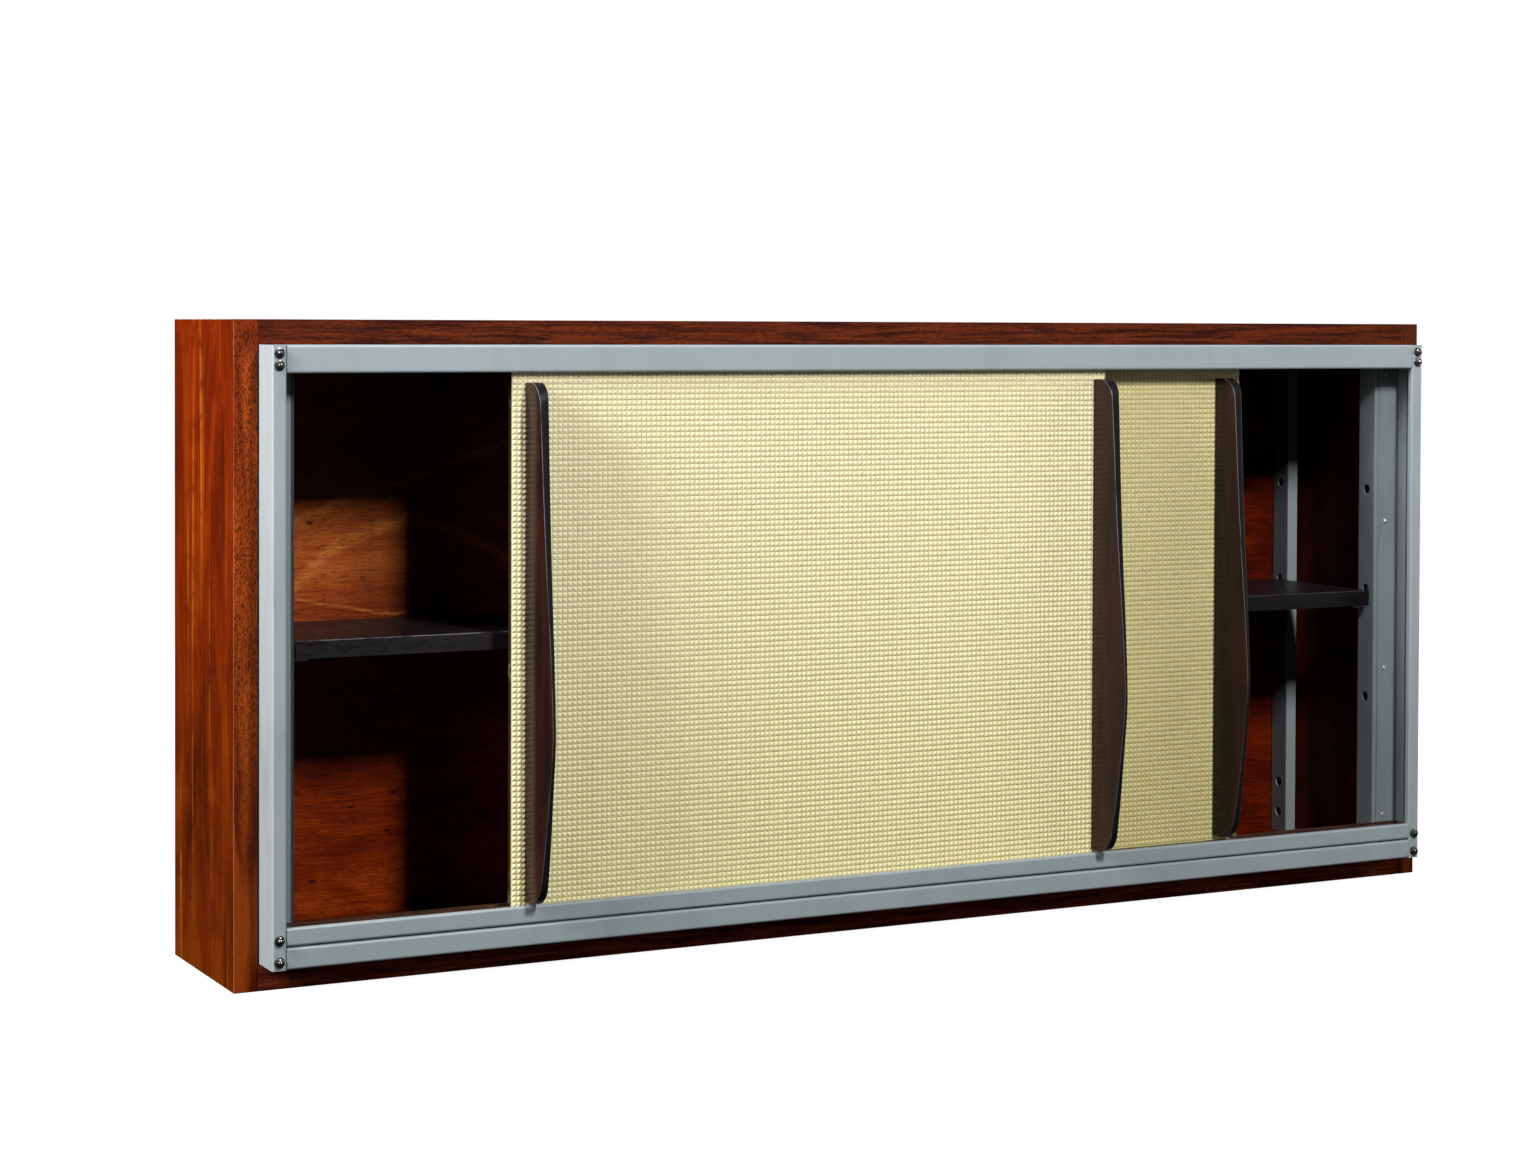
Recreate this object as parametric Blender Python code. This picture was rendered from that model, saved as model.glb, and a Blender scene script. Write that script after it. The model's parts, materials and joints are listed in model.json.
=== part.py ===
"""Shallow mahogany cabinet with a grey steel face frame and two sliding doors.

Metres, +Z up, +X to the right, +Y into the depth, so the doors face -Y.
The part stands on its flat base board, and its origin is the middle of the
bottom of its bounding box.

In plan every piece is placed by its inset from the carcass's outer side face
and by its depth behind the front edge of the wood. A depth in front of the
wood is negative.
"""
import math

import bmesh
import bpy
import numpy as np
from mathutils import Matrix, Vector

# Carcass
CABINET_WIDTH = 1.580
CABINET_HEIGHT = 0.713
CARCASS_DEPTH = 0.220
BOARD = 0.0265
BASE_BOARD = 0.029
BACK_BOARD = 0.005
BACK_REBATE = 0.010
BOARD_EASE = 0.0006

# Clearances
FIT_GAP = 0.0003
BORE_CLEARANCE = 0.0003
DOOR_SIDE_CLEARANCE = 0.0005
CUT_OVERRUN = 0.002

# Steel face frame
FRAME_PROJECTION = 0.044
FRAME_SIDE_GAP = 0.0015
STILE_SHEET = 0.0016
STILE_FACE = 0.016
STILE_LIP = 0.007
STILE_TAIL = 0.022
SHEET_BEND = 0.0008
WELD_BITE = 0.0003
TOP_RAIL_HEIGHT = 0.030
RAIL_RETURN = 0.0045
LOWER_RAIL_HEIGHT = 0.0232
SILL_RAIL_HEIGHT = 0.0196
RAIL_SEAM = 0.0014
RAIL_TAIL = 0.012
RAIL_BACK_GAP = 0.0005
TAB_DEPTH = 0.005
TAB_BITE = 0.003

# Bolts of the frame, each with its washer and nut on the outside
BOLT_RADIUS = 0.0025
BOLT_END = 0.0026
BOLT_END_ROUND = 0.0008
WASHER_RADIUS = 0.0056
WASHER_THICKNESS = 0.0010
NUT_ACROSS_FLATS = 0.0080
NUT_THICKNESS = 0.0034
NUT_SIDES = 6
TOP_BOLT_SPACING = 0.0128
LOW_BOLT_DROP = 0.0026

# Wood screws that hold the stiles in the carcass
FIXING_HEAD_RADIUS = 0.0040
FIXING_HEAD_RISE = 0.0022
FIXING_SHANK_RADIUS = 0.0020
FIXING_BITE = 0.018
FIXING_INSET = 0.120

# Jamb angles
JAMB_SHEET = 0.0016
JAMB_LEG = 0.018
JAMB_REVEAL = 0.005
JAMB_SCREW_COUNT = 4
JAMB_SCREW_END = 0.0095
JAMB_SCREW_HEAD_RADIUS = 0.0030
JAMB_SCREW_HEAD_RISE = 0.0018
JAMB_SCREW_SHANK_RADIUS = 0.0014

# Uprights with holes for the shelf clips
UPRIGHT_INSET = 0.067
UPRIGHT_SHEET = 0.0015
UPRIGHT_DEPTH = 0.0335
UPRIGHT_SIDE_GAP = 0.0074
UPRIGHT_NARROW_FLANGE = 0.015
HOLE_RADIUS = 0.006
SHELF_HOLE_HEIGHTS = (0.2315, 0.371, 0.500)
LOW_HOLE_HEIGHTS = (0.0556, 0.096)

# Shelf and the bent wire clips that carry it
SHELF_THICKNESS = 0.0198
SHELF_SETBACK = 0.006
SHELF_BACK_GAP = 0.009
SHELF_EASE = 0.0005
SHELF_TOP_BELOW_HOLE = 0.0012
CLIP_WIRE_RADIUS = 0.0014
CLIP_BEND = 0.0020
CLIP_LEDGE = 0.018
CLIP_CATCH = 0.007

# Wooden runners with a groove for each door
SILL_RUNNER_DROP = 0.003
SILL_GROOVE = 0.006
TOP_GROOVE = 0.015

# Doors
DOOR_OVERLAP = 0.0238
DOOR_CORE = 0.008
DOOR_SHEET = 0.0024
DOOR_GROOVE_SETBACK = 0.0078
DOOR_SPACING = 0.019
FRONT_DOOR_OPEN_SHARE = 0.1783
REAR_DOOR_OPEN_SHARE = 0.1721
CORE_EASE = 0.0004

# Handles: upright fins that are widest below the middle
HANDLE_TOP_GAP = 0.0108
HANDLE_FOOT_GAP = 0.0025
HANDLE_THICKNESS = 0.0108
HANDLE_EDGE = 0.0050
HANDLE_REACH = 0.0604
HANDLE_FOOT_CORNER = 0.024
HANDLE_TOP_CORNER = 0.017
HANDLE_EASE = 0.0006
HANDLE_SLOPE_SHARES = (0.25, 0.45, 0.62, 0.76, 0.88)
HANDLE_PROFILE_SHARES = (
    (0.000, 0.608), (0.114, 0.776), (0.225, 0.901), (0.332, 1.000), (0.437, 0.950),
    (0.637, 0.801), (1.000, 0.611))
FRONT_HANDLE_MARGIN = 0.0157
MEETING_HANDLE_MARGIN = 0.0062
REAR_HANDLE_MARGIN = 0.0260
HANDLE_SCREW_END = 0.070
HANDLE_SCREW_HEAD_RADIUS = 0.0038
HANDLE_SCREW_HEAD_RISE = 0.0020
HANDLE_SCREW_SHANK_RADIUS = 0.0019
HANDLE_SCREW_BITE = 0.012

# Facets of round shapes
SCREW_SIDES = 16
HOLE_SIDES = 24
WIRE_SIDES = 10
BEND_STEPS = 5
CORNER_STEPS = 6
PROFILE_STEPS = 22
DOME_STEPS = 5
SHARP_ANGLE = math.radians(32)

# Where things are, worked out from the sizes above
HALF_WIDTH = CABINET_WIDTH / 2
RAIL_SHEET = STILE_SHEET + FIT_GAP + WELD_BITE
FRAME_BOTTOM = BASE_BOARD + FIT_GAP
FRAME_TOP = CABINET_HEIGHT - BOARD - FIT_GAP
FRAME_FACE = -FRAME_PROJECTION
STILE_INSET = BOARD + FRAME_SIDE_GAP
STILE_INNER = STILE_INSET + STILE_FACE
STILE_MIDDLE = STILE_INSET + STILE_FACE / 2
RAIL_END = STILE_INNER + FIT_GAP
TAB_START = STILE_INSET + STILE_SHEET + FIT_GAP
TAB_END = RAIL_END + TAB_BITE
TAB_FRONT = FRAME_FACE + STILE_SHEET + FIT_GAP
TAB_BACK = TAB_FRONT + TAB_DEPTH
TOP_RAIL_BOTTOM = FRAME_TOP - TOP_RAIL_HEIGHT
LOWER_RAIL_TOP = FRAME_BOTTOM + LOWER_RAIL_HEIGHT
SILL_RAIL_BOTTOM = LOWER_RAIL_TOP + RAIL_SEAM
SILL_RAIL_TOP = SILL_RAIL_BOTTOM + SILL_RAIL_HEIGHT
BACK_FACE = CARCASS_DEPTH - BACK_BOARD

RUNNER_FRONT = FRAME_FACE + RAIL_SHEET + FIT_GAP
RUNNER_BACK = -FIT_GAP
RUNNER_END = STILE_INSET + STILE_SHEET + FIT_GAP
SILL_RUNNER_TOP = SILL_RAIL_TOP - SILL_RUNNER_DROP
SILL_RUNNER_BOTTOM = SILL_RAIL_BOTTOM + RAIL_SHEET + FIT_GAP
TOP_RUNNER_BOTTOM = TOP_RAIL_BOTTOM + RAIL_SHEET + FIT_GAP
TOP_RUNNER_TOP = FRAME_TOP - RAIL_SHEET - FIT_GAP
GROOVE_WIDTH = DOOR_CORE + FIT_GAP + DOOR_SHEET + 2 * DOOR_SIDE_CLEARANCE
FRONT_DOOR_FACE = FRAME_FACE + DOOR_GROOVE_SETBACK + DOOR_SIDE_CLEARANCE
REAR_DOOR_FACE = FRONT_DOOR_FACE + DOOR_SPACING
DOOR_BOTTOM = SILL_RUNNER_TOP - SILL_GROOVE + FIT_GAP
DOOR_TOP = TOP_RUNNER_BOTTOM + TOP_GROOVE - SILL_GROOVE - 2 * FIT_GAP

JAMB_BACK = -FIT_GAP
JAMB_FRONT = JAMB_BACK - JAMB_SHEET
JAMB_OUTER = STILE_INSET + STILE_SHEET + FIT_GAP
JAMB_INNER = UPRIGHT_INSET - JAMB_REVEAL
JAMB_BOTTOM = SILL_RUNNER_TOP + FIT_GAP
JAMB_TOP = TOP_RUNNER_BOTTOM - FIT_GAP
UPRIGHT_FLANGE_END = STILE_INSET + STILE_SHEET + UPRIGHT_SIDE_GAP
JAMB_SCREW_INSET = (UPRIGHT_INSET + UPRIGHT_FLANGE_END) / 2

SHELF_TOP = SHELF_HOLE_HEIGHTS[1] - SHELF_TOP_BELOW_HOLE
SHELF_BOTTOM = SHELF_TOP - SHELF_THICKNESS
SHELF_INSET = UPRIGHT_INSET + 2 * CLIP_WIRE_RADIUS + 2 * FIT_GAP
SHELF_BACK = BACK_FACE - SHELF_BACK_GAP

HANDLE_BASE = SILL_RAIL_TOP + HANDLE_FOOT_GAP
HANDLE_LENGTH = TOP_RAIL_BOTTOM - HANDLE_TOP_GAP - HANDLE_BASE
HANDLE_FRONT = FRONT_DOOR_FACE - FIT_GAP - HANDLE_REACH
OVERALL_DEPTH = CARCASS_DEPTH - HANDLE_FRONT
WOOD_FRONT_Y = OVERALL_DEPTH / 2 - CARCASS_DEPTH

CLEAR_WIDTH = 2 * (HALF_WIDTH - TAB_START)
DOOR_WIDTH = (CLEAR_WIDTH + DOOR_OVERLAP) / 2
FRONT_DOOR_SHUT = -HALF_WIDTH + TAB_START + DOOR_SIDE_CLEARANCE
FRONT_DOOR_LEFT = FRONT_DOOR_SHUT + CLEAR_WIDTH * FRONT_DOOR_OPEN_SHARE
REAR_DOOR_SHUT = HALF_WIDTH - JAMB_OUTER - JAMB_SHEET - DOOR_SIDE_CLEARANCE
REAR_DOOR_RIGHT = REAR_DOOR_SHUT - CLEAR_WIDTH * REAR_DOOR_OPEN_SHARE

LEFT, RIGHT = -1, 1


def clear_scene():
    """Remove what a new file holds."""
    for item in list(bpy.data.objects):
        bpy.data.objects.remove(item)


def material(name, colour, roughness, metallic=0.0):
    """A plain finish in one colour."""
    finish = bpy.data.materials.new(name)
    finish.use_nodes = True
    shader = finish.node_tree.nodes["Principled BSDF"]
    shader.inputs["Base Color"].default_value = (*colour, 1.0)
    shader.inputs["Roughness"].default_value = roughness
    shader.inputs["Metallic"].default_value = metallic
    return finish


def make_materials():
    """The finishes that the photographed cabinet shows."""
    return {
        "mahogany": material("mahogany", (0.25, 0.055, 0.018), 0.42),
        "steel": material("painted_steel", (0.32, 0.38, 0.41), 0.45),
        "dark_wood": material("dark_wood", (0.022, 0.014, 0.012), 0.40),
        "door_sheet": material("pale_door_sheet", (0.62, 0.58, 0.30), 0.50),
        "door_core": material("door_core", (0.020, 0.015, 0.013), 0.60),
        "runner": material("runner_wood", (0.060, 0.030, 0.017), 0.55),
        "screw": material("plated_screw", (0.32, 0.29, 0.26), 0.35, 1.0),
        "zinc": material("bright_zinc", (0.60, 0.60, 0.60), 0.30, 1.0),
    }


def side_x(side, inset):
    """X of a plane at an inset from the left or right outer face."""
    return side * (HALF_WIDTH - inset)


def add_empty(name, location, parent=None):
    """An empty that carries pieces."""
    empty = bpy.data.objects.new(name, None)
    empty.location = location
    empty.parent = parent
    bpy.context.collection.objects.link(empty)
    return empty


def add_object(name, mesh, finish, parent, location=(0, 0, 0)):
    """Put a mesh in the scene as a named piece."""
    piece = bpy.data.objects.new(name, mesh)
    piece.location = location
    piece.parent = parent
    if not mesh.materials:
        mesh.materials.append(finish)
    bpy.context.collection.objects.link(piece)
    return piece


def finish_mesh(name, shape, smooth=False):
    """Turn a bmesh into a mesh with its faces pointing out."""
    bmesh.ops.recalc_face_normals(shape, faces=shape.faces)
    mesh = bpy.data.meshes.new(name)
    shape.to_mesh(mesh)
    shape.free()
    if smooth:
        mesh.shade_smooth()
        mesh.set_sharp_from_angle(angle=SHARP_ANGLE)
    return mesh


def box_mesh(name, size):
    """A box centred on its own origin."""
    shape = bmesh.new()
    bmesh.ops.create_cube(shape, size=1.0, matrix=Matrix.Diagonal((*size, 1.0)))
    return finish_mesh(name, shape)


def add_box(name, low, high, finish, parent, ease=0.0):
    """A box between two corners, with its edges eased where a width is given."""
    low, high = Vector(low), Vector(high)
    piece = add_object(name, box_mesh(name, high - low), finish, parent, (low + high) / 2)
    if ease:
        ease_edges(piece, ease)
    return piece


def ease_edges(piece, width, steps=2):
    """Round the sharp edges a little."""
    bevel = piece.modifiers.new("ease", "BEVEL")
    bevel.width = width
    bevel.segments = steps
    bevel.limit_method = "ANGLE"
    bevel.angle_limit = SHARP_ANGLE
    return bevel


def extruded_mesh(name, outline, length, axis):
    """An outline carried along X or Z, centred on the middle of its length.

    Along X the outline's points are (y, z), and along Z they are (x, y).
    """
    shape = bmesh.new()
    half = length / 2
    if axis == "X":
        start = [(-half, a, b) for a, b in outline]
        way = Vector((length, 0, 0))
    else:
        start = [(a, b, -half) for a, b in outline]
        way = Vector((0, 0, length))
    face = shape.faces.new([shape.verts.new(point) for point in start])
    grown = bmesh.ops.extrude_face_region(shape, geom=[face])
    moved = [item for item in grown["geom"] if isinstance(item, bmesh.types.BMVert)]
    bmesh.ops.translate(shape, verts=moved, vec=way)
    return finish_mesh(name, shape, smooth=True)


def arc_points(before, corner, after, radius, steps):
    """Points of the arc that rounds a corner between two straight runs."""
    first = (Vector(before) - Vector(corner)).normalized()
    second = (Vector(after) - Vector(corner)).normalized()
    half_angle = first.angle(second) / 2
    centre = Vector(corner) + (first + second).normalized() * radius / math.sin(half_angle)
    start = Vector(corner) + first * radius / math.tan(half_angle) - centre
    end = Vector(corner) + second * radius / math.tan(half_angle) - centre
    sweep = start.angle_signed(end)
    turn = [Matrix.Rotation(-sweep * step / steps, 2) for step in range(steps + 1)]
    return [centre + matrix @ start for matrix in turn]


def folded_outline(path, sheet, bend):
    """Outline of a folded sheet that follows a path of straight runs."""
    line = [Vector(path[0])]
    for before, corner, after in zip(path, path[1:], path[2:]):
        line += arc_points(before, corner, after, bend + sheet / 2, BEND_STEPS)
    line.append(Vector(path[-1]))
    left, right = [], []
    for index, point in enumerate(line):
        before = line[max(index - 1, 0)]
        after = line[min(index + 1, len(line) - 1)]
        if 0 < index < len(line) - 1:
            way = (point - before).normalized() + (after - point).normalized()
            spread = 1 / math.cos((point - before).angle(after - point) / 2)
        else:
            way = after - before
            spread = 1.0
        across = Vector((-way.y, way.x)).normalized() * sheet / 2 * spread
        left.append(point + across)
        right.append(point - across)
    return left + right[::-1]


def mirrored(outline, side):
    """A plan outline given as (inset, depth), set on the left or right side."""
    return [(side_x(side, inset), depth) for inset, depth in outline]


def turned_mesh(name, profile, sides=SCREW_SIDES):
    """A profile of (radius, depth) points turned round the Y axis."""
    shape = bmesh.new()
    points = [shape.verts.new((radius, depth, 0)) for radius, depth in profile]
    edges = [shape.edges.new(pair) for pair in zip(points, points[1:])]
    bmesh.ops.spin(
        shape, geom=points + edges, cent=(0, 0, 0), axis=(0, 1, 0),
        angle=math.tau, steps=sides, use_merge=True)
    bmesh.ops.remove_doubles(shape, verts=shape.verts, dist=FIT_GAP / 100)
    return finish_mesh(name, shape, smooth=True)


def screw_mesh(name, head_radius, head_rise, shank_radius, shank):
    """A dome-headed screw whose head sits at depth zero and points along -Y."""
    dome = []
    for step in range(DOME_STEPS + 1):
        angle = math.pi / 2 * step / DOME_STEPS
        dome.append((head_radius * math.sin(angle), -head_rise * math.cos(angle)))
    tip = [(shank_radius, 0.0), (shank_radius, shank), (0.0, shank)]
    return turned_mesh(name, dome + tip)


def bore_cutter(name, places, radius, depth, axis, parent, sides=SCREW_SIDES):
    """One hidden cutter with a round bar at each place."""
    shape = bmesh.new()
    turn = Matrix.Rotation(math.pi / 2, 4, "Y" if axis == "X" else "X")
    for place in places:
        bmesh.ops.create_cone(
            shape, cap_ends=True, segments=sides, radius1=radius, radius2=radius,
            depth=depth, matrix=Matrix.Translation(place) @ turn)
    cutter = add_object(name, finish_mesh(name, shape), None, parent)
    hide_helper(cutter)
    return cutter


def hide_helper(helper):
    """Mark an object as a cutter or guide."""
    helper.hide_render = True
    helper.display_type = "WIRE"


def combine(piece, helper, operation):
    """Cut a helper from a piece, or join it to the piece."""
    change = piece.modifiers.new(operation.lower(), "BOOLEAN")
    change.operation = operation
    change.solver = "EXACT"
    change.object = helper


def cut_bores(piece, places, radius, depth, axis, sides=SCREW_SIDES):
    """Bore round holes through a piece."""
    label = f"{piece.name}_bores_{len(piece.modifiers)}"
    cutter = bore_cutter(label, places, radius, depth, axis, piece.parent, sides)
    combine(piece, cutter, "DIFFERENCE")


def fixing_depth():
    """Depth of the stile's wood screws behind the front of the wood."""
    return STILE_TAIL - FIXING_HEAD_RADIUS - BORE_CLEARANCE - STILE_SHEET


def fixing_heights():
    """Heights of the two wood screws in each stile."""
    return FRAME_BOTTOM + FIXING_INSET, FRAME_TOP - FIXING_INSET


def make_sides(finish, parent):
    """The two full-height side boards, rebated behind for the back board."""
    rebate = BACK_BOARD + FIT_GAP
    outline = [
        (0, 0), (BOARD, 0), (BOARD, CARCASS_DEPTH - rebate),
        (BOARD - BACK_REBATE, CARCASS_DEPTH - rebate),
        (BOARD - BACK_REBATE, CARCASS_DEPTH), (0, CARCASS_DEPTH)]
    for side, name in ((LEFT, "left_side"), (RIGHT, "right_side")):
        mesh = extruded_mesh(name, mirrored(outline, side), CABINET_HEIGHT, "Z")
        piece = add_object(name, mesh, finish, parent, (0, 0, CABINET_HEIGHT / 2))
        ease_edges(piece, BOARD_EASE)
        bite = side_x(side, BOARD - FIXING_BITE / 2 + CUT_OVERRUN / 2)
        places = [(bite, fixing_depth(), height) for height in fixing_heights()]
        cut_bores(
            piece, places, FIXING_SHANK_RADIUS + BORE_CLEARANCE,
            FIXING_BITE + CUT_OVERRUN + 2 * FIT_GAP, "X")


def make_top_and_bottom(finish, parent):
    """The top and base boards, which lie between the sides."""
    rebate = BACK_BOARD + FIT_GAP
    length = 2 * (HALF_WIDTH - BOARD - FIT_GAP)
    for name, outer, inner, thickness in (
            ("top_board", CABINET_HEIGHT, -1, BOARD), ("base_board", 0.0, 1, BASE_BOARD)):
        face = outer + inner * thickness
        step = face - inner * BACK_REBATE
        outline = [
            (0, outer), (0, face), (CARCASS_DEPTH - rebate, face),
            (CARCASS_DEPTH - rebate, step), (CARCASS_DEPTH, step), (CARCASS_DEPTH, outer)]
        piece = add_object(name, extruded_mesh(name, outline, length, "X"), finish, parent)
        ease_edges(piece, BOARD_EASE)


def make_back(finish, parent):
    """The thin back board, flush in the rebates."""
    half = HALF_WIDTH - BOARD + BACK_REBATE - FIT_GAP
    low = (-half, BACK_FACE, BASE_BOARD - BACK_REBATE + FIT_GAP)
    high = (half, CARCASS_DEPTH, CABINET_HEIGHT - BOARD + BACK_REBATE - FIT_GAP)
    add_box("back_board", low, high, finish, parent)


def bolt_heights():
    """Heights of the frame's bolts: a pair above, and one in each lower rail."""
    top = (FRAME_TOP + TOP_RAIL_BOTTOM) / 2
    sill = (SILL_RAIL_BOTTOM + SILL_RAIL_TOP) / 2 - LOW_BOLT_DROP
    lower = (FRAME_BOTTOM + LOWER_RAIL_TOP) / 2 - LOW_BOLT_DROP
    return {
        "top_rail": (top - TOP_BOLT_SPACING / 2, top + TOP_BOLT_SPACING / 2),
        "sill_rail": (sill,),
        "lower_rail": (lower,),
    }


def cut_lip(stile, side):
    """Cut the stile's lip away behind the ends of the rails."""
    first, last = sorted((
        side_x(side, STILE_INNER - STILE_SHEET - SHEET_BEND), side_x(side, STILE_INNER + CUT_OVERRUN)))
    front = FRAME_FACE + STILE_SHEET
    back = FRAME_FACE + STILE_LIP + CUT_OVERRUN
    spans = {
        "low": (FRAME_BOTTOM - CUT_OVERRUN, SILL_RAIL_TOP + FIT_GAP),
        "high": (TOP_RAIL_BOTTOM - FIT_GAP, FRAME_TOP + CUT_OVERRUN)}
    for label, (bottom, top) in spans.items():
        notch = add_box(
            f"{stile.name}_{label}_notch", (first, front, bottom), (last, back, top),
            None, stile.parent)
        hide_helper(notch)
        combine(stile, notch, "DIFFERENCE")


def make_stiles(finish, parent):
    """The two folded stiles: side wall, front face and a lip behind it."""
    middle = STILE_SHEET / 2
    path = [
        (STILE_INSET + middle, STILE_TAIL), (STILE_INSET + middle, FRAME_FACE + middle),
        (STILE_INNER - middle, FRAME_FACE + middle), (STILE_INNER - middle, FRAME_FACE + STILE_LIP)]
    outline = folded_outline(path, STILE_SHEET, SHEET_BEND)
    height = FRAME_TOP - FRAME_BOTTOM
    centre = (FRAME_TOP + FRAME_BOTTOM) / 2
    levels = [level for group in bolt_heights().values() for level in group]
    for side, name in ((LEFT, "left_stile"), (RIGHT, "right_stile")):
        mesh = extruded_mesh(name, mirrored(outline, side), height, "Z")
        piece = add_object(name, mesh, finish, parent, (0, 0, centre))
        cut_lip(piece, side)
        front = [(side_x(side, STILE_MIDDLE), FRAME_FACE + middle, level) for level in levels]
        cut_bores(
            piece, front, BOLT_RADIUS + BORE_CLEARANCE,
            STILE_SHEET + 2 * FIT_GAP, "Y")
        wall = side_x(side, STILE_INSET + middle)
        places = [(wall, fixing_depth(), level) for level in fixing_heights()]
        cut_bores(
            piece, places, FIXING_SHANK_RADIUS + BORE_CLEARANCE,
            STILE_SHEET + 2 * FIT_GAP, "X")


def add_rail_tabs(rail, low, high, levels):
    """Weld a threaded tab into each end of a rail, behind the stile's face."""
    bottom, top = low + RAIL_SHEET / 2, high - RAIL_SHEET / 2
    for side, label in ((LEFT, "left"), (RIGHT, "right")):
        first, last = sorted((side_x(side, TAB_START), side_x(side, TAB_END)))
        tab = add_box(
            f"{rail.name}_{label}_tab", (first, TAB_FRONT, bottom),
            (last, TAB_BACK, top), None, rail.parent)
        hide_helper(tab)
        combine(rail, tab, "UNION")
    places = []
    for side in (LEFT, RIGHT):
        for level in levels:
            places.append((side_x(side, STILE_MIDDLE), (TAB_FRONT + TAB_BACK) / 2, level))
    cut_bores(
        rail, places, BOLT_RADIUS + BORE_CLEARANCE,
        TAB_DEPTH + CUT_OVERRUN, "Y")


def make_rail(name, path, low, high, finish, parent):
    """A folded rail between the stiles, with its tabs."""
    outline = folded_outline(path, RAIL_SHEET, SHEET_BEND)
    length = 2 * (HALF_WIDTH - RAIL_END)
    rail = add_object(name, extruded_mesh(name, outline, length, "X"), finish, parent)
    add_rail_tabs(rail, low, high, bolt_heights()[name])
    return rail


def make_rails(finish, parent):
    """The top rail, the lower rail and the sill rail above it."""
    middle = RAIL_SHEET / 2
    face = FRAME_FACE + middle
    back = -RAIL_BACK_GAP
    make_rail("top_rail", [
        (RAIL_TAIL, FRAME_TOP - middle), (face, FRAME_TOP - middle),
        (face, TOP_RAIL_BOTTOM + middle),
        (FRAME_FACE + RAIL_RETURN, TOP_RAIL_BOTTOM + middle),
    ], TOP_RAIL_BOTTOM, FRAME_TOP, finish, parent)
    make_rail("lower_rail", [
        (RAIL_TAIL, FRAME_BOTTOM + middle), (face, FRAME_BOTTOM + middle),
        (face, LOWER_RAIL_TOP - middle), (back, LOWER_RAIL_TOP - middle),
    ], FRAME_BOTTOM, LOWER_RAIL_TOP, finish, parent)
    make_rail("sill_rail", [
        (back, SILL_RAIL_BOTTOM + middle), (face, SILL_RAIL_BOTTOM + middle),
        (face, SILL_RAIL_TOP - middle), (FRAME_FACE + RAIL_RETURN, SILL_RAIL_TOP - middle),
    ], SILL_RAIL_BOTTOM, SILL_RAIL_TOP, finish, parent)


def bolt_mesh():
    """A bolt's round parts: rounded end, washer, and shank through stile and tab."""
    tip = -(WASHER_THICKNESS + NUT_THICKNESS + BOLT_END)
    profile = [
        (0.0, tip), (BOLT_RADIUS - BOLT_END_ROUND, tip), (BOLT_RADIUS, tip + BOLT_END_ROUND),
        (BOLT_RADIUS, -WASHER_THICKNESS), (WASHER_RADIUS, -WASHER_THICKNESS),
        (WASHER_RADIUS, 0.0), (BOLT_RADIUS, 0.0)]
    end = STILE_SHEET + FIT_GAP + TAB_DEPTH
    return turned_mesh("frame_bolt", profile + [(BOLT_RADIUS, end), (0.0, end)])


def nut_mesh():
    """A six-sided nut that bites into the washer behind it."""
    shape = bmesh.new()
    thickness = NUT_THICKNESS + WASHER_THICKNESS / 2
    corner = NUT_ACROSS_FLATS / 2 / math.cos(math.pi / NUT_SIDES)
    place = Matrix.Translation((0, -WASHER_THICKNESS / 2 - thickness / 2, 0))
    bmesh.ops.create_cone(
        shape, cap_ends=True, segments=NUT_SIDES, radius1=corner, radius2=corner,
        depth=thickness, matrix=place @ Matrix.Rotation(math.pi / 2, 4, "X"))
    return finish_mesh("nut", shape)


def make_bolts(finish, parent):
    """The bolts through the stiles into the rails' tabs."""
    mesh, nut = bolt_mesh(), nut_mesh()
    for side, label in ((LEFT, "left"), (RIGHT, "right")):
        for rail, levels in bolt_heights().items():
            for index, level in enumerate(levels):
                number = f"_{index + 1}" if len(levels) > 1 else ""
                name = f"{rail}_bolt_{label}{number}"
                place = (side_x(side, STILE_MIDDLE), FRAME_FACE - FIT_GAP, level)
                bolt = add_object(name, mesh, finish, parent, place)
                helper = add_object(f"{name}_nut", nut, finish, parent, place)
                hide_helper(helper)
                combine(bolt, helper, "UNION")


def make_fixing_screws(finish, parent):
    """The wood screws through the stiles' side walls into the side boards."""
    shank = STILE_SHEET + FRAME_SIDE_GAP + FIXING_BITE - FIT_GAP
    mesh = screw_mesh(
        "stile_fixing", FIXING_HEAD_RADIUS, FIXING_HEAD_RISE, FIXING_SHANK_RADIUS, shank)
    for side, label in ((LEFT, "left"), (RIGHT, "right")):
        for index, level in enumerate(fixing_heights()):
            inset = STILE_INSET + STILE_SHEET + FIT_GAP
            place = (side_x(side, inset), fixing_depth(), level)
            screw = add_object(f"stile_fixing_{label}_{index + 1}", mesh, finish, parent, place)
            screw.rotation_euler = (0, 0, -side * math.pi / 2)


def jamb_screw_heights():
    """Heights of the screws that hold a jamb angle to its upright."""
    low = JAMB_BOTTOM + JAMB_SCREW_END
    high = JAMB_TOP - JAMB_SCREW_END
    gaps = JAMB_SCREW_COUNT - 1
    return [low + (high - low) * index / gaps for index in range(JAMB_SCREW_COUNT)]


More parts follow.
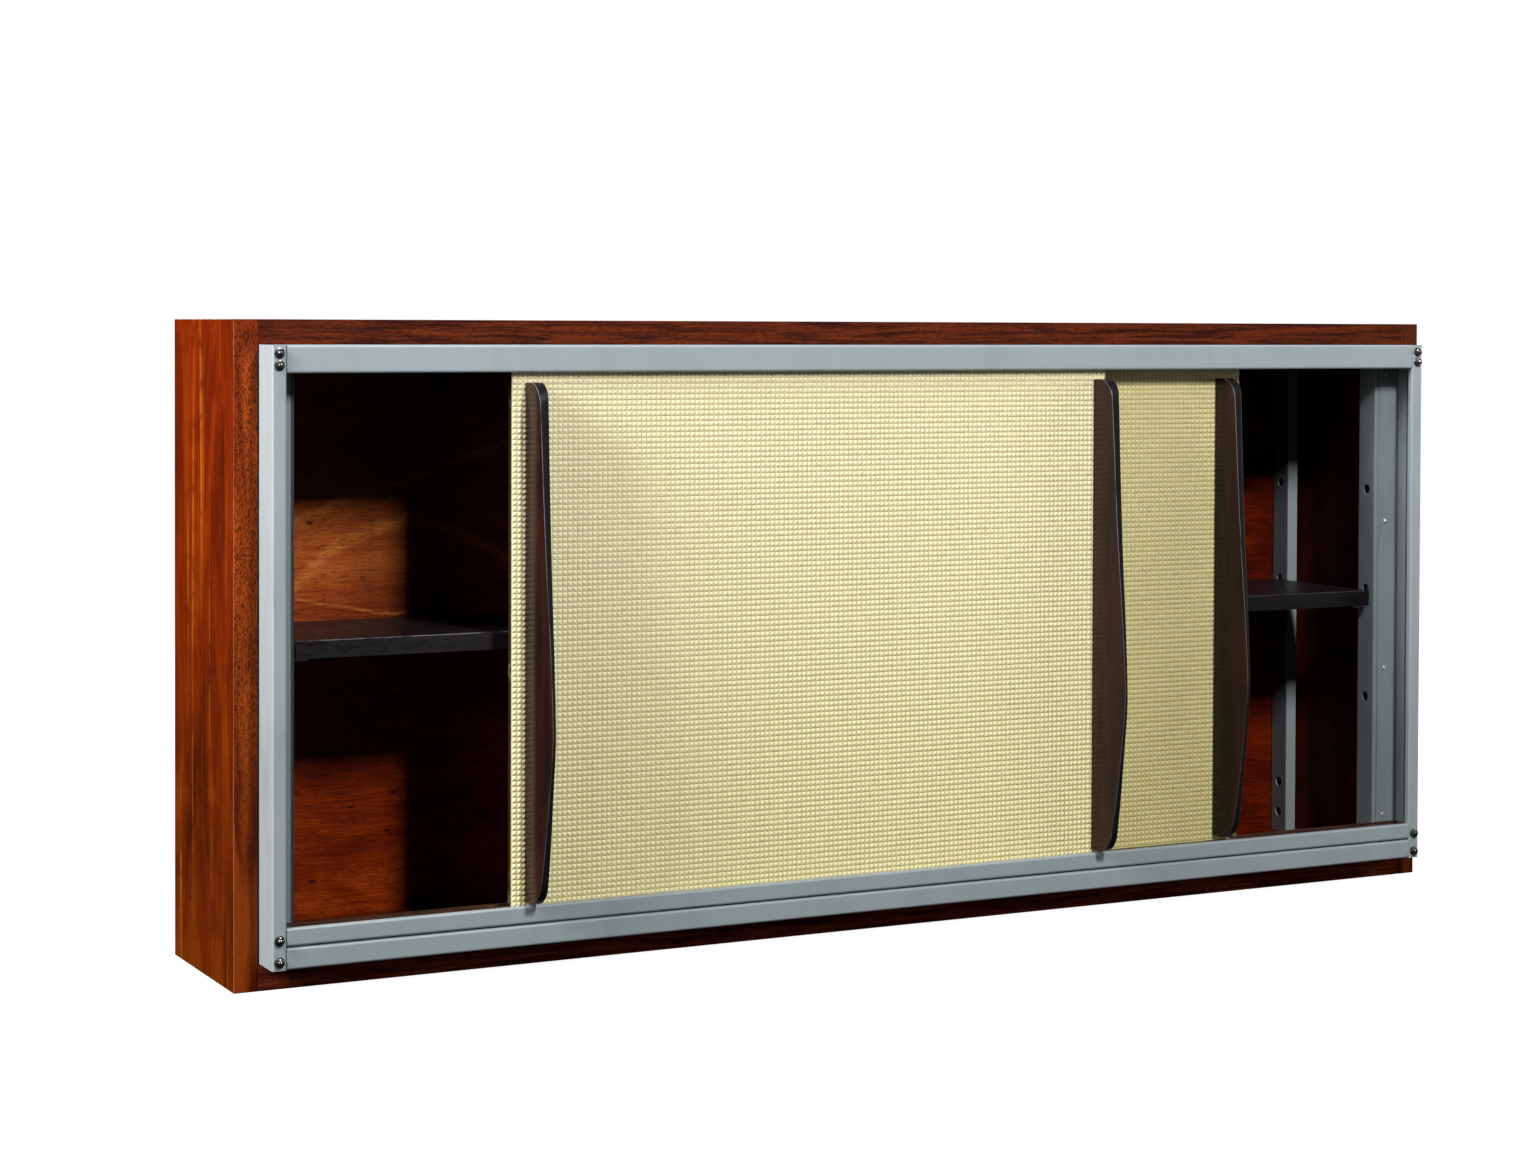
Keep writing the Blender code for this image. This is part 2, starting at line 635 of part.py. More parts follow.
def make_jambs(finish, screw_finish, parent):
    """The jamb angles behind the stiles, each with its column of screws."""
    middle = JAMB_SHEET / 2
    path = [
        (JAMB_OUTER + middle, JAMB_BACK - JAMB_LEG), (JAMB_OUTER + middle, JAMB_BACK - middle),
        (JAMB_INNER, JAMB_BACK - middle)]
    outline = folded_outline(path, JAMB_SHEET, SHEET_BEND)
    shank = JAMB_SHEET + FIT_GAP + UPRIGHT_SHEET
    screw = screw_mesh(
        "jamb_screw", JAMB_SCREW_HEAD_RADIUS, JAMB_SCREW_HEAD_RISE,
        JAMB_SCREW_SHANK_RADIUS, shank)
    centre = (JAMB_TOP + JAMB_BOTTOM) / 2
    for side, label in ((LEFT, "left"), (RIGHT, "right")):
        name = f"{label}_jamb"
        mesh = extruded_mesh(name, mirrored(outline, side), JAMB_TOP - JAMB_BOTTOM, "Z")
        piece = add_object(name, mesh, finish, parent, (0, 0, centre))
        column = side_x(side, JAMB_SCREW_INSET)
        places = [(column, JAMB_BACK - middle, level) for level in jamb_screw_heights()]
        cut_bores(
            piece, places, JAMB_SCREW_SHANK_RADIUS + BORE_CLEARANCE,
            JAMB_SHEET + 2 * FIT_GAP, "Y")
        for index, level in enumerate(jamb_screw_heights()):
            place = (column, JAMB_FRONT - FIT_GAP, level)
            add_object(f"{label}_jamb_screw_{index + 1}", screw, screw_finish, parent, place)


def upright_outline(front):
    """Plan of an upright whose wide flange is in front, or else behind."""
    middle = UPRIGHT_SHEET / 2
    web = UPRIGHT_INSET - middle
    if front:
        wide, narrow = middle, UPRIGHT_DEPTH - middle
    else:
        wide = BACK_FACE - FIT_GAP - middle
        narrow = BACK_FACE - FIT_GAP - UPRIGHT_DEPTH + middle
    path = [
        (UPRIGHT_FLANGE_END, wide), (web, wide), (web, narrow),
        (UPRIGHT_INSET - UPRIGHT_NARROW_FLANGE, narrow)]
    return folded_outline(path, UPRIGHT_SHEET, SHEET_BEND)


def hole_depth(front):
    """Depth of an upright's holes behind the front of the wood: the middle of its web."""
    if front:
        return UPRIGHT_DEPTH / 2
    return BACK_FACE - FIT_GAP - UPRIGHT_DEPTH / 2


def make_uprights(finish, parent):
    """The four holed channels that carry the shelf."""
    web = UPRIGHT_INSET - UPRIGHT_SHEET / 2
    for side, label in ((LEFT, "left"), (RIGHT, "right")):
        for front, row in ((True, "front"), (False, "rear")):
            inner_gap = FIT_GAP + RAIL_SHEET if front else 0.0
            low, high = FRAME_BOTTOM + inner_gap, FRAME_TOP - inner_gap
            name = f"{row}_upright_{label}"
            mesh = extruded_mesh(name, mirrored(upright_outline(front), side), high - low, "Z")
            piece = add_object(name, mesh, finish, parent, (0, 0, (low + high) / 2))
            levels = SHELF_HOLE_HEIGHTS if front else LOW_HOLE_HEIGHTS + SHELF_HOLE_HEIGHTS
            places = [(side_x(side, web), hole_depth(front), level) for level in levels]
            cut_bores(
                piece, places, HOLE_RADIUS, UPRIGHT_SHEET + CUT_OVERRUN, "X", HOLE_SIDES)
            if front:
                column = side_x(side, JAMB_SCREW_INSET)
                screws = [(column, UPRIGHT_SHEET / 2, level) for level in jamb_screw_heights()]
                cut_bores(
                    piece, screws, JAMB_SCREW_SHANK_RADIUS + BORE_CLEARANCE,
                    UPRIGHT_SHEET + CUT_OVERRUN, "Y")


def make_shelf(finish, parent):
    """The loose shelf between the uprights."""
    half = HALF_WIDTH - SHELF_INSET
    low = (-half, SHELF_SETBACK, SHELF_BOTTOM)
    high = (half, SHELF_BACK, SHELF_TOP)
    add_box("shelf", low, high, finish, parent, SHELF_EASE)


def clip_path(side):
    """Middle line of a clip's wire as (x, z): catch, peg, drop and ledge."""
    seat = SHELF_HOLE_HEIGHTS[1] - HOLE_RADIUS + CLIP_WIRE_RADIUS + FIT_GAP
    ledge = SHELF_BOTTOM - FIT_GAP - CLIP_WIRE_RADIUS
    drop = UPRIGHT_INSET + FIT_GAP + CLIP_WIRE_RADIUS
    catch = drop - UPRIGHT_SHEET - 2 * (FIT_GAP + CLIP_WIRE_RADIUS) - FIT_GAP
    corners = [
        (catch, seat + CLIP_CATCH), (catch, seat), (drop, seat), (drop, ledge),
        (drop + CLIP_LEDGE, ledge)]
    return [(side_x(side, inset), height) for inset, height in corners]


def wire_mesh(name, path, radius, bend):
    """A round wire along a path of straight runs in the XZ plane."""
    line = [Vector(path[0])]
    for before, corner, after in zip(path, path[1:], path[2:]):
        line += arc_points(before, corner, after, bend, CORNER_STEPS)
    line.append(Vector(path[-1]))
    shape = bmesh.new()
    rings = []
    for index, point in enumerate(line):
        way = line[min(index + 1, len(line) - 1)] - line[max(index - 1, 0)]
        across = Vector((-way.y, way.x)).normalized()
        ring = []
        for step in range(WIRE_SIDES):
            angle = math.tau * step / WIRE_SIDES
            spot = point + across * radius * math.cos(angle)
            ring.append(shape.verts.new((spot.x, radius * math.sin(angle), spot.y)))
        rings.append(ring)
    for ring, following in zip(rings, rings[1:]):
        for step in range(WIRE_SIDES):
            turn = (step + 1) % WIRE_SIDES
            shape.faces.new((ring[step], ring[turn], following[turn], following[step]))
    shape.faces.new(rings[0])
    shape.faces.new(rings[-1])
    return finish_mesh(name, shape, smooth=True)


def make_clips(finish, parent):
    """Four bent wire clips that peg into the uprights and carry the shelf."""
    for side, label in ((LEFT, "left"), (RIGHT, "right")):
        for front, row in ((True, "front"), (False, "rear")):
            name = f"shelf_clip_{row}_{label}"
            mesh = wire_mesh(name, clip_path(side), CLIP_WIRE_RADIUS, CLIP_BEND)
            add_object(name, mesh, finish, parent, (0, hole_depth(front), 0))


def groove_edges():
    """Front and back depth of each door's groove, front door first."""
    edges = []
    for face in (FRONT_DOOR_FACE, REAR_DOOR_FACE):
        start = face - DOOR_SIDE_CLEARANCE
        edges.append((start, start + GROOVE_WIDTH))
    return edges


def make_runners(finish, parent):
    """The grooved wooden runners, notched in front for the rails' tabs."""
    length = 2 * (HALF_WIDTH - RUNNER_END)
    for name, solid, face, groove in (
            ("sill_runner", SILL_RUNNER_BOTTOM, SILL_RUNNER_TOP, SILL_RUNNER_TOP - SILL_GROOVE),
            ("top_runner", TOP_RUNNER_TOP, TOP_RUNNER_BOTTOM, TOP_RUNNER_BOTTOM + TOP_GROOVE)):
        outline = [(RUNNER_FRONT, solid), (RUNNER_FRONT, face)]
        for start, end in groove_edges():
            outline += [(start, face), (start, groove), (end, groove), (end, face)]
        outline += [(RUNNER_BACK, face), (RUNNER_BACK, solid)]
        piece = add_object(name, extruded_mesh(name, outline, length, "X"), finish, parent)
        low, high = sorted((solid, face))
        for side, label in ((LEFT, "left"), (RIGHT, "right")):
            first, last = sorted((
                side_x(side, RUNNER_END - CUT_OVERRUN), side_x(side, TAB_END + FIT_GAP)))
            notch = add_box(
                f"{name}_{label}_notch", (first, RUNNER_FRONT - CUT_OVERRUN, low - CUT_OVERRUN),
                (last, TAB_BACK + FIT_GAP, high + CUT_OVERRUN), None, parent)
            hide_helper(notch)
            combine(piece, notch, "DIFFERENCE")


def handle_reach(height):
    """Reach of a handle's front edge at a height, before its corners are rounded."""
    share = height / HANDLE_LENGTH
    heights, reaches = np.array(HANDLE_PROFILE_SHARES).T
    slopes = np.gradient(reaches, heights)
    slopes[np.argmax(reaches)] = 0.0
    after = min(max(int(np.searchsorted(heights, share)), 1), len(heights) - 1)
    before = after - 1
    run = heights[after] - heights[before]
    way = (share - heights[before]) / run
    rise = reaches[after] - reaches[before]
    start = slopes[before] * run - rise
    end = rise - slopes[after] * run
    reach = reaches[before] + way * rise + way * (1 - way) * ((1 - way) * start + way * end)
    return float(reach) * HANDLE_REACH


def handle_outline():
    """Side view of a handle as (reach, height) points up its front edge."""
    points = []
    for step in range(CORNER_STEPS):
        angle = math.pi / 2 * step / CORNER_STEPS
        height = HANDLE_FOOT_CORNER * (1 - math.cos(angle))
        points.append((handle_reach(height) - HANDLE_FOOT_CORNER * (1 - math.sin(angle)), height))
    span = HANDLE_LENGTH - HANDLE_FOOT_CORNER - HANDLE_TOP_CORNER
    for step in range(PROFILE_STEPS + 1):
        height = HANDLE_FOOT_CORNER + span * step / PROFILE_STEPS
        points.append((handle_reach(height), height))
    for step in range(1, CORNER_STEPS + 1):
        angle = math.pi / 2 * step / CORNER_STEPS
        height = HANDLE_LENGTH - HANDLE_TOP_CORNER * (1 - math.sin(angle))
        points.append((handle_reach(height) - HANDLE_TOP_CORNER * (1 - math.cos(angle)), height))
    return points


def handle_hollow(height):
    """How much thinner a handle is at its front edge than at its base.

    It thins where it reaches further out than its ends do.
    """
    end_reach = HANDLE_REACH * min(share for _, share in HANDLE_PROFILE_SHARES)
    short = (HANDLE_REACH - handle_reach(height)) / (HANDLE_REACH - end_reach)
    return (HANDLE_THICKNESS - HANDLE_EDGE) * (1 - short ** 3)


def handle_mesh(name):
    """A fin with a flat right face and a left face that curves in to its front edge.

    The left face comes in with the square of the way out from the door. The
    origin is at the foot, on the door's face, in the middle of the base.
    """
    shape = bmesh.new()
    half = HANDLE_THICKNESS / 2
    outline = handle_outline()
    right = [shape.verts.new((half, -reach, height)) for reach, height in outline]
    left = []
    for edge, height in outline:
        hollow = handle_hollow(height)
        left.append([
            shape.verts.new((hollow * share ** 2 - half, -edge * share, height))
            for share in (0.0, *HANDLE_SLOPE_SHARES, 1.0)])
    foot = shape.verts.new((half, 0, 0))
    head = shape.verts.new((half, 0, HANDLE_LENGTH))
    shape.faces.new([foot, *right, head])
    shape.faces.new([foot, head, *[row[0] for row in left[::-1]]])
    shape.faces.new([foot, right[0], *left[0][::-1]])
    shape.faces.new([head, right[-1], *left[-1][::-1]])
    for low, high, near, far in zip(left, left[1:], right, right[1:]):
        shape.faces.new((near, far, high[-1], low[-1]))
        for column in range(len(low) - 1):
            shape.faces.new((low[column], high[column], high[column + 1], low[column + 1]))
    return finish_mesh(name, shape, smooth=True)


def handle_screw_heights():
    """Heights of a handle's two screws."""
    return HANDLE_BASE + HANDLE_SCREW_END, HANDLE_BASE + HANDLE_LENGTH - HANDLE_SCREW_END


def make_door(label, slide, handles, finishes):
    """One sliding door: core, sheet, handles and their screws.

    The slide empty is at the door's left edge, on its front face, at floor level.
    """
    core_front = DOOR_SHEET + FIT_GAP
    core_back = core_front + DOOR_CORE
    core = add_box(
        f"{label}_door_core", (0, core_front, DOOR_BOTTOM),
        (DOOR_WIDTH, core_back, DOOR_TOP), finishes["door_core"], slide, CORE_EASE)
    sheet = add_box(
        f"{label}_door_sheet", (0, 0, DOOR_BOTTOM),
        (DOOR_WIDTH, DOOR_SHEET, DOOR_TOP), finishes["door_sheet"], slide)
    columns = list(handles.values())
    levels = handle_screw_heights()
    bore = HANDLE_SCREW_SHANK_RADIUS + BORE_CLEARANCE
    for piece, middle, depth in (
            (core, (core_front + core_back) / 2, DOOR_CORE), (sheet, DOOR_SHEET / 2, DOOR_SHEET)):
        places = [(column, middle, level) for column in columns for level in levels]
        cut_bores(piece, places, bore, depth + CUT_OVERRUN, "Y")
    shank = core_back + FIT_GAP + HANDLE_SCREW_BITE
    screw = screw_mesh(
        f"{label}_handle_screw", HANDLE_SCREW_HEAD_RADIUS, HANDLE_SCREW_HEAD_RISE,
        HANDLE_SCREW_SHANK_RADIUS, shank)
    for name, column in handles.items():
        mesh = handle_mesh(name)
        piece = add_object(
            name, mesh, finishes["dark_wood"], slide, (column, -FIT_GAP, HANDLE_BASE))
        ease_edges(piece, HANDLE_EASE)
        places = [(column, -FIT_GAP - HANDLE_SCREW_BITE / 2, level) for level in levels]
        cut_bores(piece, places, bore, HANDLE_SCREW_BITE + CUT_OVERRUN, "Y")
        for index, level in enumerate(levels):
            place = (column, core_back + FIT_GAP, level)
            fixing = add_object(f"{name}_screw_{index + 1}", screw, finishes["screw"], slide, place)
            fixing.rotation_euler = (0, 0, math.pi)


def make_doors(finishes, parent):
    """The front door on the left and the rear door behind its right part."""
    half = HANDLE_THICKNESS / 2
    front = add_empty("front_door_slide", (FRONT_DOOR_LEFT, FRONT_DOOR_FACE, 0), parent)
    make_door("front", front, {
        "front_door_outer_handle": FRONT_HANDLE_MARGIN + half,
        "front_door_meeting_handle": DOOR_WIDTH - MEETING_HANDLE_MARGIN - half,
    }, finishes)
    rear_left = REAR_DOOR_RIGHT - DOOR_WIDTH
    rear = add_empty("rear_door_slide", (rear_left, REAR_DOOR_FACE, 0), parent)
    make_door("rear", rear, {
        "rear_door_handle": DOOR_WIDTH - REAR_HANDLE_MARGIN - half,
    }, finishes)


def main():
    """Build the cabinet."""
    clear_scene()
    finishes = make_materials()
    cabinet = add_empty("cabinet", (0, WOOD_FRONT_Y, 0))
    make_sides(finishes["mahogany"], cabinet)
    make_top_and_bottom(finishes["mahogany"], cabinet)
    make_back(finishes["mahogany"], cabinet)
    make_stiles(finishes["steel"], cabinet)
    make_rails(finishes["steel"], cabinet)
    make_bolts(finishes["screw"], cabinet)
    make_fixing_screws(finishes["zinc"], cabinet)
    make_jambs(finishes["steel"], finishes["zinc"], cabinet)
    make_uprights(finishes["steel"], cabinet)
    make_shelf(finishes["dark_wood"], cabinet)
    make_clips(finishes["zinc"], cabinet)
    make_runners(finishes["runner"], cabinet)
    make_doors(finishes, cabinet)


main()
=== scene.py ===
"""Looks for the shallow mahogany cabinet with a steel face frame and sliding doors.

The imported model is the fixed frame: X runs to the right, Y into the depth and Z
up, in metres. Its boards, steel, runners, screws and wires keep their shapes and
get procedural finishes. The pointed door sheets, the fin handles and the nuts and
bolts are worked out here as numpy surfaces, and each stands for its CAD node.
"""

import json
import logging
import math
from abc import ABC, abstractmethod
from dataclasses import dataclass, field, replace
from enum import Enum

import bpy
import numpy as np
from mathutils import Matrix, Vector

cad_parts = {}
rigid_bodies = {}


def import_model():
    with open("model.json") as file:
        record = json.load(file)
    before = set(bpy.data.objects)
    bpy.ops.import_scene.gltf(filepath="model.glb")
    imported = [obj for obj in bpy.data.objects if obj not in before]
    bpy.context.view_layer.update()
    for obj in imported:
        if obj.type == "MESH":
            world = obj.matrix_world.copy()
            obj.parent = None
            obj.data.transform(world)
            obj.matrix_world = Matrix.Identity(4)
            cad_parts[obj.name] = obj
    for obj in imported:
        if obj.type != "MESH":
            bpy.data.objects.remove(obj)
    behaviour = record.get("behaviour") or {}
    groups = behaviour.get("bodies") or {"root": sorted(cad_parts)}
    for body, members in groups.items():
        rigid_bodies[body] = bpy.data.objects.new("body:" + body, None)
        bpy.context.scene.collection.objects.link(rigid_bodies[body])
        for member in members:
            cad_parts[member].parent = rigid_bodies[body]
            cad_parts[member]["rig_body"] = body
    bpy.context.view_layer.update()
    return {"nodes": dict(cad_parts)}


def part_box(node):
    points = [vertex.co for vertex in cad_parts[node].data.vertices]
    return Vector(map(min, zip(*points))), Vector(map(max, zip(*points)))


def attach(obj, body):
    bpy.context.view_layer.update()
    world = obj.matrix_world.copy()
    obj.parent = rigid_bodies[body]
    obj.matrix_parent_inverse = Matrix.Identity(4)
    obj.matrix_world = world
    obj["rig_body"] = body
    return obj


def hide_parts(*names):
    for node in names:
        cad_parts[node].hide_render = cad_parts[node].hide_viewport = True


log = logging.getLogger("cabinet")

MM = 0.001
WHITE = (1.0, 1.0, 1.0)
SHARP_ANGLE = math.radians(28)

Pair = tuple[float, float]
Triple = tuple[float, float, float]
Steps = tuple[float, ...]
Colour = Triple
Stops = tuple[tuple[float, Colour], ...]
Socket = bpy.types.NodeSocket
Material = bpy.types.Material
Mesh = bpy.types.Mesh


class Axis(Enum):
    """The way that wood grain runs."""

    ALONG_WIDTH = (1.0, 0.0, 0.0)
    UPRIGHT = (0.0, 0.0, 1.0)

    def stretch(self, across: float, along: float) -> Triple:
        """The scale for each axis, from one across the grain and one along it."""
        return tuple(along if part else across for part in self.value)


# Mesh tools


def grid_quads(rows: int, columns: int, wrap: bool = False) -> np.ndarray:
    """Corner numbers of the quads between neighbouring points of a grid.

    Args:
        rows: Points along the first parameter.
        columns: Points along the second parameter.
        wrap: Whether the last column joins the first.

    Returns:
        One row of four corner numbers for each quad.
    """
    numbers = np.arange(rows * columns).reshape(rows, columns)
    if wrap:
        numbers = np.hstack([numbers, numbers[:, :1]])
    corners = [numbers[:-1, :-1], numbers[:-1, 1:], numbers[1:, 1:], numbers[1:, :-1]]
    return np.stack(corners, axis=-1).reshape(-1, 4)


def build_mesh(name: str, points: np.ndarray, faces: list[np.ndarray]) -> Mesh:
    """Put points and faces into a mesh in a few whole-array calls.

    Args:
        name: Name of the mesh.
        points: One row of coordinates for each point.
        faces: Arrays of corner numbers, each with its own number of corners.

    Returns:
        The mesh.
    """
    mesh = bpy.data.meshes.new(name)
    mesh.vertices.add(len(points))
    mesh.vertices.foreach_set("co", np.asarray(points, np.float32).ravel())
    corners = np.concatenate([rows.ravel() for rows in faces]).astype(np.int32)
    counts = np.concatenate([np.full(len(rows), rows.shape[1]) for rows in faces])
    starts = np.concatenate([[0], np.cumsum(counts)[:-1]]).astype(np.int32)
    mesh.loops.add(len(corners))
    mesh.loops.foreach_set("vertex_index", corners)
    mesh.polygons.add(len(counts))
    mesh.polygons.foreach_set("loop_start", starts)
    mesh.update(calc_edges=True)
    mesh.validate()
    return mesh


def add_piece(mesh: Mesh, finish: Material, body: str) -> bpy.types.Object:
    """Show a mesh as a piece that rides on a body of the frame.

    Args:
        mesh: The piece's mesh, already in its place.
        finish: Its material.
        body: The body that carries it.

    Returns:
        The piece.
    """
    piece = bpy.data.objects.new(mesh.name, mesh)
    mesh.materials.append(finish)
    bpy.context.scene.collection.objects.link(piece)
    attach(piece, body)
    return piece


def turned_shell(rings: np.ndarray, first: int) -> tuple[np.ndarray, list[np.ndarray]]:
    """Close a stack of rings into a shell with a single point at each end.

    The first and the last ring are taken to be single points, so a pole is one
    point and not a ring of doubles.

    Args:
        rings: Points as (ring, place round it, coordinate), front to back.
        first: Number of the shell's first point.

    Returns:
        The points, and the faces as triangles at the poles and quads between.
    """
    count, sides, _ = rings.shape
    inner = rings[1:-1].reshape(-1, 3)
    points = np.vstack([rings[0, :1], inner, rings[-1, :1]])
    body = grid_quads(count - 2, sides, wrap=True) + first + 1
    here = np.arange(sides)
    after = np.roll(here, -1)
    front = np.stack([np.full(sides, first), first + 1 + after, first + 1 + here], axis=-1)
    last = first + 1 + (count - 3) * sides
    end = np.full(sides, first + len(points) - 1)
    back = np.stack([end, last + here, last + after], axis=-1)
    return points, [body[:, ::-1], front[:, ::-1], back[:, ::-1]]


# Material tools


class Coat:
    """A material under work: short calls that add its nodes and join them."""

    def __init__(self, name: str) -> None:
        """Start a material with its one shader.

        Args:
            name: The material's name.
        """
        self.material = bpy.data.materials.new(name)
        self.material.use_nodes = True
        self.tree = self.material.node_tree
        self.shader = self.tree.nodes["Principled BSDF"]
        self.coordinates = self.tree.nodes.new("ShaderNodeTexCoord").outputs

    def add(self, kind: str, inputs: dict[str | int, object], **settings: object) -> bpy.types.Node:
        """Add a node.

        Args:
            kind: The node's type.
            inputs: What its inputs are given, by their name or number.
            settings: Its properties, which are set first.

        Returns:
            The node.
        """
        node = self.tree.nodes.new(kind)
        for name, value in settings.items():
            setattr(node, name, value)
        for name, value in inputs.items():
            self.feed(node.inputs[name], value)
        return node

    def feed(self, socket: Socket, value: object) -> None:
        """Fill a socket.

        Args:
            socket: The socket to fill.
            value: A number, a colour, a vector, or another socket to link to it.
        """
        if isinstance(value, Socket):
            self.tree.links.new(value, socket)
        elif socket.type == "RGBA":
            socket.default_value = (*value, 1.0)
        else:
            socket.default_value = value

    def place(self, scale: Triple, shift: Triple = (0, 0, 0), turn: Triple = (0, 0, 0)) -> Socket:
        """Object coordinates, scaled, moved and turned.

        Args:
            scale: Scale for each axis.
            shift: Move for each axis, after the scale.
            turn: Turn round each axis, in radians.

        Returns:
            The vector socket.
        """
        return self.add("ShaderNodeMapping", {
            "Vector": self.coordinates["Object"], "Scale": scale, "Location": shift,
            "Rotation": turn}).outputs["Vector"]

    def part(self, name: str, source: str = "Object") -> Socket:
        """The X, Y or Z part of the object coordinates or of the surface's normal."""
        return self.add("ShaderNodeSeparateXYZ", {0: self.coordinates[source]}).outputs[name]

    def size(self, name: str, source: str = "Object") -> Socket:
        """The same part without its sign."""
        return self.math("ABSOLUTE", self.part(name, source))

    def away(self, vector: Socket) -> Socket:
        """How far a vector reaches from the origin."""
        return self.add("ShaderNodeVectorMath", {0: vector}, operation="LENGTH").outputs["Value"]

    def noise(self, scale: Triple, detail: float = 3.0, rough: float = 0.5, warp: float = 0.0,
              **place: Triple) -> Socket:
        """Smooth random values from 0 to 1, mostly near the middle.

        Args:
            scale: Scale for each axis.
            detail: How many finer noises lie over the first.
            rough: How strong the finer noises are.
            warp: How far the pattern is bent.
            place: Shift and turn, as for place.

        Returns:
            The value's socket.
        """
        return self.add("ShaderNodeTexNoise", {
            "Vector": self.place(scale, **place), "Scale": 1.0, "Detail": detail,
            "Roughness": rough, "Distortion": warp}).outputs["Fac"]

    def sweep(self, value: Socket, low: float, high: float, start: object = 0.0,
              end: object = 1.0) -> Socket:
        """Carry a value from one range to another on a smooth step.

        Args:
            value: What is carried over.
            low: Value at which the step starts.
            high: Value at which the step ends.
            start: Result at and below low, a number or a socket.
            end: Result at and above high, a number or a socket.

        Returns:
            The result's socket.
        """
        return self.add("ShaderNodeMapRange", {
            "Value": value, "From Min": low, "From Max": high, "To Min": start, "To Max": end},
            interpolation_type="SMOOTHSTEP").outputs["Result"]

    def along(self, name: str, *steps: object) -> Socket:
        """Sweep over the X, Y or Z part of the place."""
        return self.sweep(self.part(name), *steps)

    def front(self, low: float, high: float) -> Socket:
        """1 where the normal's Y is below low, as on front faces, and 0 where it is above high."""
        return self.sweep(self.part("Y", "Normal"), low, high, 1.0, 0.0)

    def band(self, value: Socket, low: float, high: float, soft: float) -> Socket:
        """1 between two values and 0 outside them, with soft ends."""
        return self.times(self.sweep(value, low - soft, low + soft),
                          self.sweep(value, high - soft, high + soft, 1.0, 0.0))

    def math(self, operation: str, first: object, *others: object) -> Socket:
        """Run one kind of arithmetic over numbers, each step on the result so far.

        Args:
            operation: The kind of arithmetic.
            first: The number to start with.
            others: The other numbers, none for a kind that takes one alone.

        Returns:
            The result's socket.
        """
        for other in others or (0.0,):
            first = self.add("ShaderNodeMath", {0: first, 1: other}, operation=operation).outputs[0]
        return first

    def times(self, *factors: object) -> Socket:
        """Multiply numbers."""
        return self.math("MULTIPLY", *factors)

    def ramp(self, value: Socket, stops: Stops) -> Socket:
        """Colours along a value.

        Args:
            value: The value from 0 to 1.
            stops: Places on it, each with its colour.

        Returns:
            The colour socket.
        """
        node = self.add("ShaderNodeValToRGB", {0: value})
        elements = node.color_ramp.elements
        while len(elements) < len(stops):
            elements.new(1.0)
        for element, (position, colour) in zip(elements, stops):
            element.position = position
            element.color = (*colour, 1.0)
        return node.outputs["Color"]

    def mix(self, factor: object, first: object, second: object, blend: str = "MIX") -> Socket:
        """Blend two colours."""
        colours = {0: factor, 6: first, 7: second}
        return self.add("ShaderNodeMix", colours, data_type="RGBA", blend_type=blend).outputs[2]

    def blend(self, factor: object, first: object, second: object) -> Socket:
        """Blend two numbers."""
        numbers = {0: factor, 2: first, 3: second}
        return self.add("ShaderNodeMix", numbers, data_type="FLOAT").outputs[0]

    def tint(self, colour: Socket, shade: Socket) -> Socket:
        """Multiply a colour by a grey or by another colour."""
        return self.mix(1.0, colour, shade, "MULTIPLY")

    def relief(self, height: Socket, depth: float, strength: float) -> None:
        """Bump of the surface from a height, over a depth in metres."""
        node = self.add("ShaderNodeBump", {"Strength": strength, "Distance": depth, "Height": height})
        self.feed(self.shader.inputs["Normal"], node.outputs["Normal"])

    def dress(self, colour: object, roughness: object, specular: object = 0.5,
              **others: object) -> Material:
        """Set the shader's own sockets.

        Args:
            colour: The base colour.
            roughness: The roughness.
            specular: The specular level.
            others: Further sockets by name, with _ for a space.

        Returns:
            The material.
        """
        others.update(Base_Color=colour, Roughness=roughness, Specular_IOR_Level=specular)
        for name, value in others.items():
            self.feed(self.shader.inputs[name.replace("_", " ")], value)
        return self.material


# Finishes


@dataclass(frozen=True)
class Recipe(ABC):
    """What a finish is made of: its colours, patterns and gloss."""

    name: str

    @abstractmethod
    def lay(self, coat: Coat) -> Material:
        """Lay the finish's layers on an empty coat and hand back the material."""

    def material(self) -> Material:
        """Make the material."""
        return self.lay(Coat(self.name))


